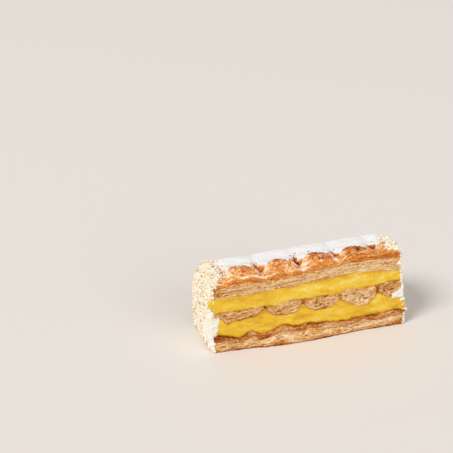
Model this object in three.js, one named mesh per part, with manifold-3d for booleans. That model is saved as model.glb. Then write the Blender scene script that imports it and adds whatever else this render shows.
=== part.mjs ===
// Mille feuille slice: three sheets of puff pastry with two layers of custard between them,
// a quilted, glazed top under a stripe of icing sugar, and crumb-coated ends.
// Millimetres. +X runs along the slice, -Y is the cut face that shows best, +Z is up.
// The origin is on the underside, at the middle of the slice.
import * as THREE from 'three';
import { mergeVertices } from 'three/addons/utils/BufferGeometryUtils.js';
import Module from 'manifold-3d';

const wasm = await Module();
wasm.setup();

// ---- Driving dimensions -------------------------------------------------------------------

const HALF_WIDTH = 17.5;          // from the middle plane to each knife cut
const GAP = 0.3;                  // clearance between pieces that touch

const LEFT_FACE = -58.6;          // where the layers stop at the left end
const RIGHT_FACE = 58.1;          // where the layers stop at the right end, low down
const BASE_TUCK = { depth: 1.0, height: 9 };          // the ends draw in near the plate
const LEFT_SHOULDER = { depth: 2.8, start: 33, slant: 6, height: 8 };
const RIGHT_LEAN = { depth: 4.6, start: 11, height: 30, power: 0.6, twist: 0.3 };

const DENT_PITCH = 22.6;          // spacing of the pressed dents along the slice
const FIRST_DENT = -51.2;         // x of the leftmost dent
const STEPS_PER_DENT = 10;
const STEP = DENT_PITCH / STEPS_PER_DENT;             // between stations along the slice

const BASE_LEVEL = 9.4;           // top of the bottom pastry
const BASE_SLANT = 1.5;           // how far its swells shift from the middle to each cut
const ROOF_LEVEL = 33.5;          // underside of the top pastry, at the left
const ROOF_RISE = { height: 3.7, from: -35, to: 26 }; // it climbs along the slice
const ROOF_FALL = { height: 1.8, from: 30, to: 56 };  // and drops again at the right end
const CROWN_LEVEL = 46.0;         // top of the crust between the domes, at mid length
const CROWN_RISE = 0.033;         // its slope along the slice

const DOME_ROW = { y: -8.6, reach: 7.6, height: 3.1 };     // the glazed domes in front
const SUGARED_ROW = { y: 4.5, reach: 9.5, height: 0.8 };   // the lower row under the sugar
// A dome's height along its length, from dent to dent: steep on the left, easy on the right.
const PILLOW = [
  [0, 0], [0.08, 0.08], [0.14, 0.34], [0.22, 0.74], [0.32, 0.93], [0.45, 1],
  [0.56, 0.99], [0.68, 0.92], [0.8, 0.78], [0.9, 0.52], [0.96, 0.2], [1, 0],
];
const DENT = { depth: 1.5, y: -6.5, reachX: STEP * 1.6, reachY: 6 };
const FRONT_FALL = 1.9;           // how far the crust drops at the front cut, on the left
const FRONT_NOTCH = { depth: 1.1, reach: 5 };         // a little more beside each dent
const FRONT_LIFT = { height: 4.0, from: 10, to: 24 }; // the cut meets the domes on the right
const BACK_FALL = { drop: 5.0, from: 6, to: HALF_WIDTH + 3, power: 1.1 };
const BACK_SAG = { height: 1.0, from: 5, to: 25 };    // the back edge is lower on the left
const LEFT_ROUNDING = { front: 0.6, back: 5.4, from: -49, reach: 9 };  // of the top edge
const RIGHT_ROUNDING = { drop: 2.6, from: 45, reach: 7 };
const MOST_ROUNDING = 1.3;        // limit of a rounding, as a share of its reach

// The middle pastry along the slice, as pairs of x and height: its top, and how deep its lobes
// hang between the places where the dents pinch it.
const MIDDLE_TOP = [
  [-59, 24.3], [-54.6, 24.5], [-45, 24.8], [-37.1, 24.5], [-31.2, 24.8], [-28.2, 25.0],
  [-22.3, 24.0], [-17.5, 25.2], [-13.4, 26.4], [-9.2, 26.4], [-6.2, 26.2], [-1.3, 25.8],
  [4.7, 26.1], [10.8, 25.8], [15.7, 25.7], [18.1, 26.6], [23.0, 27.4], [29.1, 27.4],
  [35.3, 27.8], [41.5, 28.1], [47.7, 29.1], [53.3, 29.2],
];
const MIDDLE_DEPTH = [
  [-58.6, 2.0], [-53.4, 4.2], [-50, 7.8], [-45.8, 6.1], [-41.2, 5.9], [-35.3, 4.9],
  [-30, 2.8], [-28.2, 2.2], [-26, 3.2], [-24, 4.9], [-20, 6.6], [-16.2, 8.1],
  [-11.4, 8.5], [-9, 6.9], [-7.3, 4.2], [-6.1, 3.4], [-4.5, 4.3], [-2.4, 5.8],
  [1.9, 8.0], [5, 8.9], [8, 8.3], [11, 7.5], [13.8, 6.2], [15.2, 4.5], [17, 4.3],
  [21.4, 7.3], [25.2, 9.6], [29.6, 11.2], [34, 10.9], [37, 8.5], [39.3, 5.9], [40.5, 4.9],
  [43.7, 7.7], [47, 10.4], [49.4, 8.7], [54.3, 5.6], [57.5, 2.3],
];

// Rises and dips along the top of the bottom pastry: place, height, reach.
const BASE_SWELLS = [
  { x: -56, rise: 1.5, reach: 7 },
  { x: -43.5, rise: -1.8, reach: 6 },
  { x: -36.5, rise: 1.8, reach: 4.5 },
  { x: -29.5, rise: -1.4, reach: 6 },
  { x: -17, rise: 2.6, reach: 8 },
  { x: -3, rise: 1.1, reach: 7 },
  { x: 20, rise: -0.9, reach: 12 },
  { x: 50, rise: 1.2, reach: 8 },
];

const FLARE = { reach: 3.4, height: 11, power: 1.3 }; // the base spreads under the knife
const FLARE_SPREAD = 46;          // half of the length over which the base spreads
const FRONT_FLARE_X = -8;
const BACK_FLARE_X = 8;

const LEAF_RELIEF = 0.85;         // how far pastry leaves stand out at the cuts
const FILLING_RELIEF = 0.3;
const LEAF_STEP = { out: 0.25, back: -0.75 };         // leaves by turns, as shares of it

// Unevenness of each surface: its height, and a phase that sets it apart from the others.
const BASE_SWAY = { height: 0.35, phase: 1.3 };
const MIDDLE_SWAY = { height: 0.25, phase: 2.6 };
const ROOF_SWAY = { height: 0.3, phase: 5.1 };
const CROWN_SWAY = { height: 0.2, phase: 7.7 };
const LEAF_SWAY = { height: 0.5, phase: 9.4 };

const SUGAR_THICKNESS = 0.9;
const SUGAR_RIM_SHARE = 0.45;     // of that thickness, at its edges
const SCALLOP_FULLNESS = 0.8;
const SUGAR_FRONT = { crest: -6.0, dent: -9.2 };      // y of its scalloped front edge
const SUGAR_BACK = { y: 16.6, bite: 2.8, x: 28, reach: 17 };

const COAT_THICKNESS = 1.1;
const COAT_CRAGS = { height: 0.35, phase: 3.3, along: 55, across: 2.4 };
const COAT_EDGE = { thinning: 0.4, band: 6 };         // it is thinner beside the cuts
const COAT_HALF_WIDTH = HALF_WIDTH * 0.99;
const COAT_GAP = 0.5;             // between the layers' ends and a coat
const COAT_FOOT = 0.5;            // lowest point of the crumb coats
const LIP_CLEARANCE = 0.7;        // under the part of a coat that laps over the top
const SHOULDER_CLEARANCE = 0.6;   // extra room where a coat turns over the shoulder
const SHOULDER_START = 0.85;      // share of the end face at which the turn begins
const SHOULDER_TURN = Math.PI / 4;
const CORNER_REACH = 0.8;         // share of a coat's distance kept beside the top edge
const LEFT_LIP = -51.0;           // where the left coat ends on the top
const RIGHT_LIP = 50.0;
const CRUMBS_PER_COAT = 46;
const CRUMB_COLUMNS = 5;          // they are spread over a loose grid of 5 columns
const CRUMB_STRIDE = 7;           // neighbours in size lie this many places apart
const CRUMB_STRETCH = { least: 0.75, most: 1.18 };
const CRUMB_SINK = 0.1;           // share of its radius by which a crumb is sunk
const CRUMB_REACH = { low: 0.05, high: 0.92 };        // share of the coat that has crumbs
const LARGE_CRUMBS = 14;          // the first crumbs have 20 sides, the others 8
const CRUMB_RADIUS = { least: 0.75, most: 1.2 };

const CREAM_THICKNESS = 1.9;      // cream between the lower custard and the left coat
const CREAM_INSET = 0.2;          // its distance inside the layers' left face
const CREAM_WEDGE_X = 49.5;       // where the cream at the right end begins
const CREAM_WEDGE_RUN = 2.5;      // the custard sinks to the cream's floor over this length
const CREAM_FLOOR = 18.2;         // top of the lower custard under it

// ---- Divisions of the lofted blocks -------------------------------------------------------

const LEFT_STEPS = 2;             // stations between the left face and the first fixed one
const RIGHT_STEPS = 3;
const FIXED_STEPS = 44;
const FIRST_FIXED = FIRST_DENT - STEP;
const LAST_FIXED = FIRST_FIXED + FIXED_STEPS * STEP;
const STATIONS = LEFT_STEPS + FIXED_STEPS + RIGHT_STEPS;
const LAYER_ROWS = 3;
const PASTRY_LEAVES = 5;
const FILLING_BANDS = 2;
const TOP_LEAVES = 6;
const TOP_ROWS = 10;
const SUGAR_FIRST_ROW = 4;
const SUGAR_LAST_ROW = 9;
const SUGAR_FIRST_STATION = 4;
const SUGAR_LAST_STATION = STATIONS - 2;
const COAT_ROWS = 8;
const COAT_FACE_STEPS = 10;
const COAT_LIP_STEPS = 4;
const COAT_STEPS = COAT_FACE_STEPS + COAT_LIP_STEPS;
const FACE_SHARE = COAT_FACE_STEPS / COAT_STEPS;
const CORNER_ROUNDS = 3;          // tries to settle the height of an end's top edge
const CREAM_STEPS = 4;
const UNDERSIDE = 5;               // place of the underside among the faces of a box

// ---- Small helpers ------------------------------------------------------------------------

const { lerp, clamp } = THREE.MathUtils;

function ease(value, from, to) {
  return THREE.MathUtils.smoothstep(value, from, to);
}

// A smooth hump of the given reach, 1 at its centre and 0 at its edge.
function swell(distance, reach) {
  const t = clamp(Math.abs(distance) / reach, 0, 1);
  return (1 + Math.cos(Math.PI * t)) / 2;
}

// Waves that make surfaces uneven: turns along, turns across, share of the phase.
const WAVES = [
  [0.31, 0.17, 1.0],
  [0.73, -0.29, 2.1],
  [1.37, 0.53, 3.7],
];

// Gentle unevenness between -1 and 1, the same each time for the same place.
function wander(along, across, phase) {
  let sum = 0;
  for (const [a, b, c] of WAVES) {
    sum += Math.sin(a * along + b * across + c * phase);
  }
  return sum / WAVES.length;
}

function sway(along, across, { height, phase }) {
  return height * wander(along, across, phase);
}

// Repeatable random numbers between 0 and 1 (mulberry32).
function makeRandom(seed) {
  let state = seed;
  return () => {
    state = (state + 0x6d2b79f5) | 0;
    let t = Math.imul(state ^ (state >>> 15), 1 | state);
    t = (t + Math.imul(t ^ (t >>> 7), 61 | t)) ^ t;
    return ((t ^ (t >>> 14)) >>> 0) / 4294967296;
  };
}

// ---- The surfaces between the layers, as heights over (x, y) ------------------------------

// -1 at the front cut and 1 at the back cut.
function sideOf(y) {
  return y / HALF_WIDTH;
}

function baseTop(x, y) {
  let z = BASE_LEVEL + sway(x, y, BASE_SWAY);
  for (const s of BASE_SWELLS) {
    z += s.rise * swell(x - s.x - BASE_SLANT * (1 + sideOf(y)), s.reach);
  }
  return z;
}

// Height at x of a line through points, which are pairs of x and height.
function heightAlong(points, x) {
  const next = points.findIndex(([place]) => place >= x);
  if (next <= 0) {
    return next < 0 ? points[points.length - 1][1] : points[0][1];
  }
  const [x0, z0] = points[next - 1];
  const [x1, z1] = points[next];
  return lerp(z0, z1, (x - x0) / (x1 - x0));
}

function dentPhase(x) {
  return (x - FIRST_DENT) / DENT_PITCH;
}

// Place between one dent and the next, from 0 to 1.
function shareOfDent(x) {
  return dentPhase(x) - Math.floor(dentPhase(x));
}

// 0 at a dent and 1 halfway between two dents.
function lobe(x) {
  return Math.abs(Math.sin(Math.PI * dentPhase(x)));
}

function fromDent(x) {
  return x - FIRST_DENT - Math.round(dentPhase(x)) * DENT_PITCH;
}

function middleTop(x, y) {
  return heightAlong(MIDDLE_TOP, x) + sway(x, y, MIDDLE_SWAY);
}

function middleBottom(x, y) {
  return middleTop(x, y) - heightAlong(MIDDLE_DEPTH, x);
}

// The part of a climb or drop that is done at x.
function slope(x, { height, from, to }) {
  return height * ease(x, from, to);
}

function roof(x, y) {
  return ROOF_LEVEL + slope(x, ROOF_RISE) - slope(x, ROOF_FALL) + sway(x, y, ROOF_SWAY);
}

// The glazed top: a gentle slope along the slice, rows of domes, pressed dents, and edges
// that drop towards the two cuts and round over at the two ends.
function crown(x, y) {
  const level = CROWN_LEVEL + CROWN_RISE * x + sway(x * 1.5, y * 2, CROWN_SWAY);
  return level + domes(x, y) - frontDrop(x, y) - backDrop(x, y) - endRounding(x, y);
}

function domes(x, y) {
  const inside = ease(x, FIRST_DENT, FIRST_DENT + 2 * STEP);
  const pillow = heightAlong(PILLOW, shareOfDent(x)) * inside;
  const glazed = DOME_ROW.height * swell(y - DOME_ROW.y, DOME_ROW.reach);
  const sugared = SUGARED_ROW.height * swell(y - SUGARED_ROW.y, SUGARED_ROW.reach);
  const dent = DENT.depth * swell(fromDent(x), DENT.reachX) * swell(y - DENT.y, DENT.reachY);
  return pillow * (glazed + sugared) - dent;
}

function frontDrop(x, y) {
  const near = 1 - ease(y, -HALF_WIDTH, DOME_ROW.y);
  const notch = FRONT_NOTCH.depth * swell(fromDent(x), FRONT_NOTCH.reach);
  return near * (FRONT_FALL + notch - slope(x, FRONT_LIFT));
}

function backDrop(x, y) {
  const drop = BACK_FALL.drop + slope(-x, BACK_SAG);
  return drop * Math.pow(ease(y, BACK_FALL.from, BACK_FALL.to), BACK_FALL.power);
}

function endRounding(x, y) {
  const { front, back } = LEFT_ROUNDING;
  const drop = lerp(front, back, (1 + sideOf(y)) / 2);
  const left = clamp((LEFT_ROUNDING.from - x) / LEFT_ROUNDING.reach, 0, 1);
  const right = clamp((x - RIGHT_ROUNDING.from) / RIGHT_ROUNDING.reach, 0, MOST_ROUNDING);
  return drop * left * left + RIGHT_ROUNDING.drop * right * right;
}

// ---- The two ends -------------------------------------------------------------------------

function tuck(z) {
  return BASE_TUCK.depth * Math.pow(clamp(1 - z / BASE_TUCK.height, 0, 1), 2);
}

function leftFace(z, y) {
  const start = LEFT_SHOULDER.start - LEFT_SHOULDER.slant * sideOf(y);
  const t = clamp((z - start) / LEFT_SHOULDER.height, 0, MOST_ROUNDING);
  return LEFT_FACE + tuck(z) + LEFT_SHOULDER.depth * t * t;
}

function rightFace(z, y) {
  const t = clamp((z - RIGHT_LEAN.start) / RIGHT_LEAN.height, 0, MOST_ROUNDING);
  const lean = RIGHT_LEAN.depth * Math.pow(t, RIGHT_LEAN.power);
  return RIGHT_FACE - tuck(z) - lean + RIGHT_LEAN.twist * sideOf(y);
}

// x of station i of a layer whose ends are at left and right. All layers share the fixed
// stations, so that their facets lie along each other.
function stationX(i, left, right) {
  if (i <= LEFT_STEPS) {
    return lerp(left, FIRST_FIXED, i / LEFT_STEPS);
  }
  const past = i - LEFT_STEPS - FIXED_STEPS;
  if (past >= 0) {
    return lerp(LAST_FIXED, right, past / RIGHT_STEPS);
  }
  return FIRST_FIXED + (i - LEFT_STEPS) * STEP;
}

// How far the two cuts spread out near the plate.
function flare(x, z, side) {
  const centre = side < 0 ? FRONT_FLARE_X : BACK_FLARE_X;
  const low = Math.pow(clamp(1 - z / FLARE.height, 0, 1), FLARE.power);
  return side * FLARE.reach * low * swell(x - centre, FLARE_SPREAD);
}

// ---- Blocks -------------------------------------------------------------------------------

// A closed block of columns, rows and levels, each grid point put where place(i, j, k) says.
function block(name, [columns, rows, levels], place, material) {
  const geometry = new THREE.BoxGeometry(columns, rows, levels, columns, rows, levels);
  const position = geometry.getAttribute('position');
  for (let v = 0; v < position.count; v += 1) {
    const i = Math.round(position.getX(v) + columns / 2);
    const j = Math.round(position.getY(v) + rows / 2);
    const k = Math.round(position.getZ(v) + levels / 2);
    position.setXYZ(v, ...place(i, j, k));
  }
  turnUndersideDiagonals(geometry);
  return solid(name, geometry, material);
}

// Splits the quads of the underside along the other diagonal, the one that the top of a
// block has, so that the facets of two layers lie along each other.
function turnUndersideDiagonals(geometry) {
  const corners = geometry.index.array;
  const { start, count } = geometry.groups[UNDERSIDE];
  for (let n = start; n < start + count; n += 6) {
    const [a, b, d, , c] = corners.slice(n, n + 6);
    corners.set([a, b, c, a, c, d], n);
  }
}

function solid(name, geometry, material) {
  geometry.deleteAttribute('normal');
  geometry.deleteAttribute('uv');
  const merged = mergeVertices(geometry, 1e-4);
  merged.computeVertexNormals();
  const mesh = new THREE.Mesh(merged, material);
  mesh.name = name;
  return mesh;
}

// A layer between two surfaces. leaves is the relief of its cut edges, level by level.
function layer(name, { floor, roofOf, levels, relief, leftInset = 0, rightInset = 0 }, material) {
  const place = (i, j, k) => {
    const y = lerp(-HALF_WIDTH, HALF_WIDTH, j / LAYER_ROWS);
    const middle = (floor(0, y) + roofOf(0, y)) / 2;
    const leftGuess = leftFace(middle, y) + leftInset;
    const rightGuess = rightFace(middle, y) - rightInset;
    const roughX = stationX(i, leftGuess, rightGuess);
    const roughZ = lerp(floor(roughX, y), roofOf(roughX, y), k / levels);
    const x = stationX(i, leftFace(roughZ, y) + leftInset, rightFace(roughZ, y) - rightInset);
    const z = lerp(floor(x, y), roofOf(x, y), k / levels);
    return [x, y + cutRelief(j, LAYER_ROWS, x, z, k, relief), z];
  };
  return block(name, [STATIONS, LAYER_ROWS, levels], place, material);
}

// Offset of a cut edge: the flare of the base plus leaves that stand out by turns.
function cutRelief(j, rows, x, z, k, relief) {
  if (j !== 0 && j !== rows) {
    return 0;
  }
  const side = j === 0 ? -1 : 1;
  const leaf = k % 2 === 0 ? LEAF_STEP.out : LEAF_STEP.back;
  const uneven = sway(x * 2, k * 3 + side, LEAF_SWAY);
  return flare(x, z, side) + side * relief * (leaf + uneven);
}

// ---- Materials ----------------------------------------------------------------------------

function finish(color, roughness) {
  return new THREE.MeshStandardMaterial({ color, roughness, metalness: 0 });
}

const basePastry = finish(0xd9b27a, 0.8);
const middlePastry = finish(0xc79a66, 0.85);
const crustPastry = finish(0xc9722f, 0.55);
const custard = finish(0xf2c51e, 0.35);
const icingSugar = finish(0xf4f1f0, 0.95);
const whiteCream = finish(0xfaf5ea, 0.5);
const crumbCoat = finish(0xefdfbd, 0.9);

// ---- Layers -------------------------------------------------------------------------------

function makeBottomPastry() {
  return layer('bottom_pastry', {
    floor: () => 0,
    roofOf: baseTop,
    levels: PASTRY_LEAVES,
    relief: LEAF_RELIEF,
    leftInset: 0.2,
  }, basePastry);
}

function makeLowerCustard() {
  const top = (x, y) => {
    const under = middleBottom(x, y) - GAP;
    const sunk = Math.min(under, CREAM_FLOOR);
    return lerp(under, sunk, ease(x, CREAM_WEDGE_X - CREAM_WEDGE_RUN, CREAM_WEDGE_X));
  };
  return layer('custard_lower', {
    floor: (x, y) => baseTop(x, y) + GAP,
    roofOf: top,
    levels: FILLING_BANDS,
    relief: FILLING_RELIEF,
    leftInset: CREAM_INSET + CREAM_THICKNESS + GAP,
  }, custard);
}

function makeMiddlePastry() {
  return layer('middle_pastry', {
    floor: middleBottom,
    roofOf: middleTop,
    levels: PASTRY_LEAVES,
    relief: LEAF_RELIEF,
    leftInset: 1.0,
    rightInset: 0.3,
  }, middlePastry);
}

function makeUpperCustard() {
  return layer('custard_upper', {
    floor: (x, y) => middleTop(x, y) + GAP,
    roofOf: (x, y) => roof(x, y) - 1.5 * GAP,
    levels: FILLING_BANDS,
    relief: FILLING_RELIEF,
    rightInset: 0.5,
  }, custard);
}

function sugarFront(x) {
  return lerp(SUGAR_FRONT.dent, SUGAR_FRONT.crest, Math.pow(lobe(x), SCALLOP_FULLNESS));
}

function sugarBack(x) {
  return SUGAR_BACK.y - SUGAR_BACK.bite * swell(x - SUGAR_BACK.x, SUGAR_BACK.reach);
}

// y of row j of the top pastry. Some rows follow the edges of the sugar stripe.
function topRow(x, j) {
  if (j <= SUGAR_FIRST_ROW) {
    return lerp(-HALF_WIDTH, sugarFront(x), j / SUGAR_FIRST_ROW);
  }
  if (j <= SUGAR_LAST_ROW) {
    const t = (j - SUGAR_FIRST_ROW) / (SUGAR_LAST_ROW - SUGAR_FIRST_ROW);
    return lerp(sugarFront(x), sugarBack(x), t);
  }
  return HALF_WIDTH;
}

// Grid point of the top pastry: k counts the leaves, from its underside to the crust.
function topPoint(i, j, k) {
  const share = k / TOP_LEAVES;
  const side = lerp(-HALF_WIDTH, HALF_WIDTH, j / TOP_ROWS);
  const roughX = stationX(i, leftFace(ROOF_LEVEL, side), rightFace(CROWN_LEVEL, side));
  const roughZ = lerp(roof(roughX, side), crown(roughX, side), share);
  const x = stationX(i, leftFace(roughZ, side), rightFace(roughZ, side));
  const y = topRow(x, j);
  const z = lerp(roof(x, y), crown(x, y), share);
  return [x, y + cutRelief(j, TOP_ROWS, x, z, k, LEAF_RELIEF), z];
}

function makeTopPastry() {
  return block('top_pastry', [STATIONS, TOP_ROWS, TOP_LEAVES], topPoint, crustPastry);
}

// The sugar lies on the crust and thins out towards its edges.
function makeSugarStripe() {
  const columns = SUGAR_LAST_STATION - SUGAR_FIRST_STATION;
  const rows = SUGAR_LAST_ROW - SUGAR_FIRST_ROW;
  const place = (i, j, k) => {
    const [x, y, z] = topPoint(i + SUGAR_FIRST_STATION, j + SUGAR_FIRST_ROW, TOP_LEAVES);
    const rim = i === 0 || i === columns || j === 0 || j === rows;
    const thickness = SUGAR_THICKNESS * (rim ? SUGAR_RIM_SHARE : 1);
    return [x, y, z + GAP + k * thickness];
  };
  return block('sugar_stripe', [columns, rows, 1], place, icingSugar);
}

// ---- Cream --------------------------------------------------------------------------------

function makeLeftCream() {
  const place = (i, j, k) => {
    const y = lerp(-HALF_WIDTH, HALF_WIDTH, j / LAYER_ROWS);
    const inner = LEFT_FACE + CREAM_THICKNESS;
    const bottom = baseTop(inner, y) + 2 * GAP;
    const top = middleBottom(inner, y) - 2 * GAP;
    const z = lerp(bottom, top, k / CREAM_STEPS);
    const x = leftFace(z, y) + CREAM_INSET + i * CREAM_THICKNESS;
    return [x, y + cutRelief(j, LAYER_ROWS, x, z, k, FILLING_RELIEF), z];
  };
  return block('cream_left', [1, LAYER_ROWS, CREAM_STEPS], place, whiteCream);
}

function makeRightCream() {
  const place = (i, j, k) => {
    const y = lerp(-HALF_WIDTH, HALF_WIDTH, j / LAYER_ROWS);
    const bottom = CREAM_FLOOR + GAP;
    const outer = rightFace(bottom + 2 * k, y) - GAP;
    const x = lerp(CREAM_WEDGE_X + 1, outer, i / CREAM_STEPS);
    const top = Math.max(middleBottom(x, y) - 3 * GAP, bottom + GAP);
    const z = lerp(bottom, top, k);
    return [x, y + cutRelief(j, LAYER_ROWS, x, z, k, FILLING_RELIEF), z];
  };
  return block('cream_right', [CREAM_STEPS, LAYER_ROWS, 1], place, whiteCream);
}

// ---- Crumb coats --------------------------------------------------------------------------

// Height of the top edge of the layers at one end, where their end face meets the crust.
function cornerHeight(face, y) {
  let z = CROWN_LEVEL;
  for (let round = 0; round < CORNER_ROUNDS; round += 1) {
    z = crown(face(z, y), y);
  }
  return z;
}

// A point of a coat: t runs from the foot (0), up the end face, round the shoulder and along
// the top to the lip (1); distance is measured from the layers. end is -1 left, 1 right.
function coatPoint(end, t, y, distance) {
  const face = end < 0 ? leftFace : rightFace;
  const out = distance + SHOULDER_CLEARANCE * swell(t - FACE_SHARE, 2 / COAT_STEPS);
  const cornerZ = cornerHeight(face, y);
  const up = t / FACE_SHARE;
  if (up < 1) {
    const z = lerp(COAT_FOOT, cornerZ - COAT_FOOT, up);
    const turn = SHOULDER_TURN * ease(up, SHOULDER_START, 1);
    return [face(z, y) + end * out * Math.cos(turn), y, z + out * Math.sin(turn)];
  }
  const along = (t - FACE_SHARE) / (1 - FACE_SHARE);
  const corner = face(cornerZ, y);
  const lip = end < 0 ? LEFT_LIP : RIGHT_LIP;
  const x = lerp(corner + end * out * CORNER_REACH, lip, along);
  return [x, y, crown(lerp(corner, lip, along), y) + out + LIP_CLEARANCE - COAT_GAP];
}

function coatThickness(t, y) {
  const { height, phase, along, across } = COAT_CRAGS;
  const beside = ease(Math.abs(y), HALF_WIDTH - COAT_EDGE.band, HALF_WIDTH);
  const crags = height * wander(t * along, y * across, phase);
  return COAT_THICKNESS * (1 - COAT_EDGE.thinning * beside) * (1 + crags);
}

function coatCore(end) {
  const place = (i, j, k) => {
    const y = lerp(-COAT_HALF_WIDTH, COAT_HALF_WIDTH, j / COAT_ROWS);
    const t = k / COAT_STEPS;
    const outer = end < 0 ? i === 0 : i === 1;
    return coatPoint(end, t, y, outer ? COAT_GAP + coatThickness(t, y) : COAT_GAP);
  };
  return block('core', [1, COAT_ROWS, COAT_STEPS], place, crumbCoat).geometry;
}

function toManifold(geometry) {
  const mesh = new wasm.Mesh({
    numProp: 3,
    vertProperties: new Float32Array(geometry.getAttribute('position').array),
    triVerts: new Uint32Array(geometry.index.array),
  });
  return new wasm.Manifold(mesh);
}

function fromManifold(manifold) {
  const { vertProperties, triVerts } = manifold.getMesh();
  const geometry = new THREE.BufferGeometry();
  geometry.setAttribute('position', new THREE.BufferAttribute(vertProperties, 3));
  geometry.setIndex(new THREE.BufferAttribute(triVerts, 1));
  return geometry;
}

// A rough crumb, sitting half sunk at a point.
function crumb(random, point, radius, large) {
  const geometry = large
    ? new THREE.IcosahedronGeometry(radius, 0)
    : new THREE.OctahedronGeometry(radius, 0);
  geometry.deleteAttribute('normal');
  geometry.deleteAttribute('uv');
  const merged = mergeVertices(geometry, 1e-4);
  const stretch = () => lerp(CRUMB_STRETCH.least, CRUMB_STRETCH.most, random());
  merged.scale(stretch(), stretch(), stretch());
  merged.rotateX(random() * Math.PI);
  merged.rotateZ(random() * Math.PI);
  merged.translate(...point);
  return merged;
}

// Crumbs spread evenly over a coat, the largest first.
function makeCrumbCoat(name, end, seed) {
  const random = makeRandom(seed);
  const rows = Math.ceil(CRUMBS_PER_COAT / CRUMB_COLUMNS);
  let coat = toManifold(coatCore(end));
  for (let n = 0; n < CRUMBS_PER_COAT; n += 1) {
    const radius = lerp(CRUMB_RADIUS.most, CRUMB_RADIUS.least, n / CRUMBS_PER_COAT);
    const spot = (n * CRUMB_STRIDE) % CRUMBS_PER_COAT;
    const row = Math.floor(spot / CRUMB_COLUMNS) + random();
    const column = (spot % CRUMB_COLUMNS) + random();
    const t = clamp(row / rows, CRUMB_REACH.low, CRUMB_REACH.high);
    const edge = HALF_WIDTH - radius;
    const y = lerp(-edge, edge, column / CRUMB_COLUMNS);
    const out = COAT_GAP + COAT_THICKNESS - CRUMB_SINK * radius;
    const grain = crumb(random, coatPoint(end, t, y, out), radius, n < LARGE_CRUMBS);
    coat = coat.add(toManifold(grain));
  }
  return solid(name, fromManifold(coat), crumbCoat);
}

// ---- The slice ----------------------------------------------------------------------------

const slice = new THREE.Group();
slice.add(
  makeBottomPastry(),
  makeLowerCustard(),
  makeMiddlePastry(),
  makeUpperCustard(),
  makeTopPastry(),
  makeSugarStripe(),
  makeLeftCream(),
  makeRightCream(),
  makeCrumbCoat('crumb_coat_left', -1, 11),
  makeCrumbCoat('crumb_coat_right', 1, 29),
);

export default slice;
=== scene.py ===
"""A mille feuille slice: puff pastry leaves, custard, a quilted glazed crust, icing sugar and
crumb-coated ends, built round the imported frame. Measures are in millimetres until a mesh is made."""

import math

import bmesh
import bpy
import numpy as np
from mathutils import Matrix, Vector


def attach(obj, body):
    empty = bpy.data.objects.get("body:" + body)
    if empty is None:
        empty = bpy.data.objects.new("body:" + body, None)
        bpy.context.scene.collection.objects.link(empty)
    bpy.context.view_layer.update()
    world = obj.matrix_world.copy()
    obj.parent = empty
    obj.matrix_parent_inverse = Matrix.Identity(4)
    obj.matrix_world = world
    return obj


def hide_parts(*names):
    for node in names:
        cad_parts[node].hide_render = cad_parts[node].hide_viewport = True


MM = 0.001

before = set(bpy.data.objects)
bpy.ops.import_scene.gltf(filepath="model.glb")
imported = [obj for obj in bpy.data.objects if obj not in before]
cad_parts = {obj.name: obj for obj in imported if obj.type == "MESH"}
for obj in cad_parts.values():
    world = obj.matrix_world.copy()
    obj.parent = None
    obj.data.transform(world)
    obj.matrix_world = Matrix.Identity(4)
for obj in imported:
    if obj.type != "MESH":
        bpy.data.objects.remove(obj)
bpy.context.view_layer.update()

# ---- Measures, as in the part's source ------------------------------------------------------

HALF_WIDTH = 17.5

LEFT_FACE = -58.6
RIGHT_FACE = 58.1
BASE_TUCK = {"depth": 1.0, "height": 9.0}
LEFT_SHOULDER = {"depth": 2.8, "start": 33.0, "slant": 6.0, "height": 8.0}
RIGHT_LEAN = {"depth": 4.6, "start": 11.0, "height": 30.0, "power": 0.6, "twist": 0.3}

DENTS = 5
DENT_PITCH = 22.6
FIRST_DENT = -51.2
STEP = DENT_PITCH / 10

BASE_LEVEL = 9.4
BASE_SLANT = 1.5
# The middle pastry along the slice: how high its top lies, and how deep its lobes hang.
MIDDLE_TOP_AT = (-59, -54.6, -45, -37.1, -31.2, -28.2, -22.3, -17.5, -13.4, -9.2, -6.2, -1.3, 4.7, 10.8, 15.7,
                 18.1, 23.0, 29.1, 35.3, 41.5, 47.7, 53.3)
MIDDLE_TOPS = (24.3, 24.5, 24.8, 24.5, 24.8, 25.0, 24.0, 25.2, 26.4, 26.4, 26.2, 25.8, 26.1, 25.8, 25.7,
               26.6, 27.4, 27.4, 27.8, 28.1, 29.1, 29.2)
MIDDLE_DEPTH_AT = (-58.6, -53.4, -50, -45.8, -41.2, -35.3, -30, -28.2, -26, -24, -20, -16.2, -11.4, -9, -7.3,
                   -6.1, -4.5, -2.4, 1.9, 5, 8, 11, 13.8, 15.2, 17, 21.4, 25.2, 29.6, 34, 37, 39.3, 40.5,
                   43.7, 47, 49.4, 54.3, 57.5)
MIDDLE_DEPTHS = (2.0, 4.2, 7.8, 6.1, 5.9, 4.9, 2.8, 2.2, 3.2, 4.9, 6.6, 8.1, 8.5, 6.9, 4.2,
                 3.4, 4.3, 5.8, 8.0, 8.9, 8.3, 7.5, 6.2, 4.5, 4.3, 7.3, 9.6, 11.2, 10.9, 8.5, 5.9, 4.9,
                 7.7, 10.4, 8.7, 5.6, 2.3)
ROOF_LEVEL = 33.5
ROOF_RISE = {"height": 3.7, "start": -35.0, "end": 26.0}
ROOF_FALL = {"height": 1.8, "start": 30.0, "end": 56.0}
CROWN_LEVEL = 46.0
CROWN_RISE = 0.033

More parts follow.
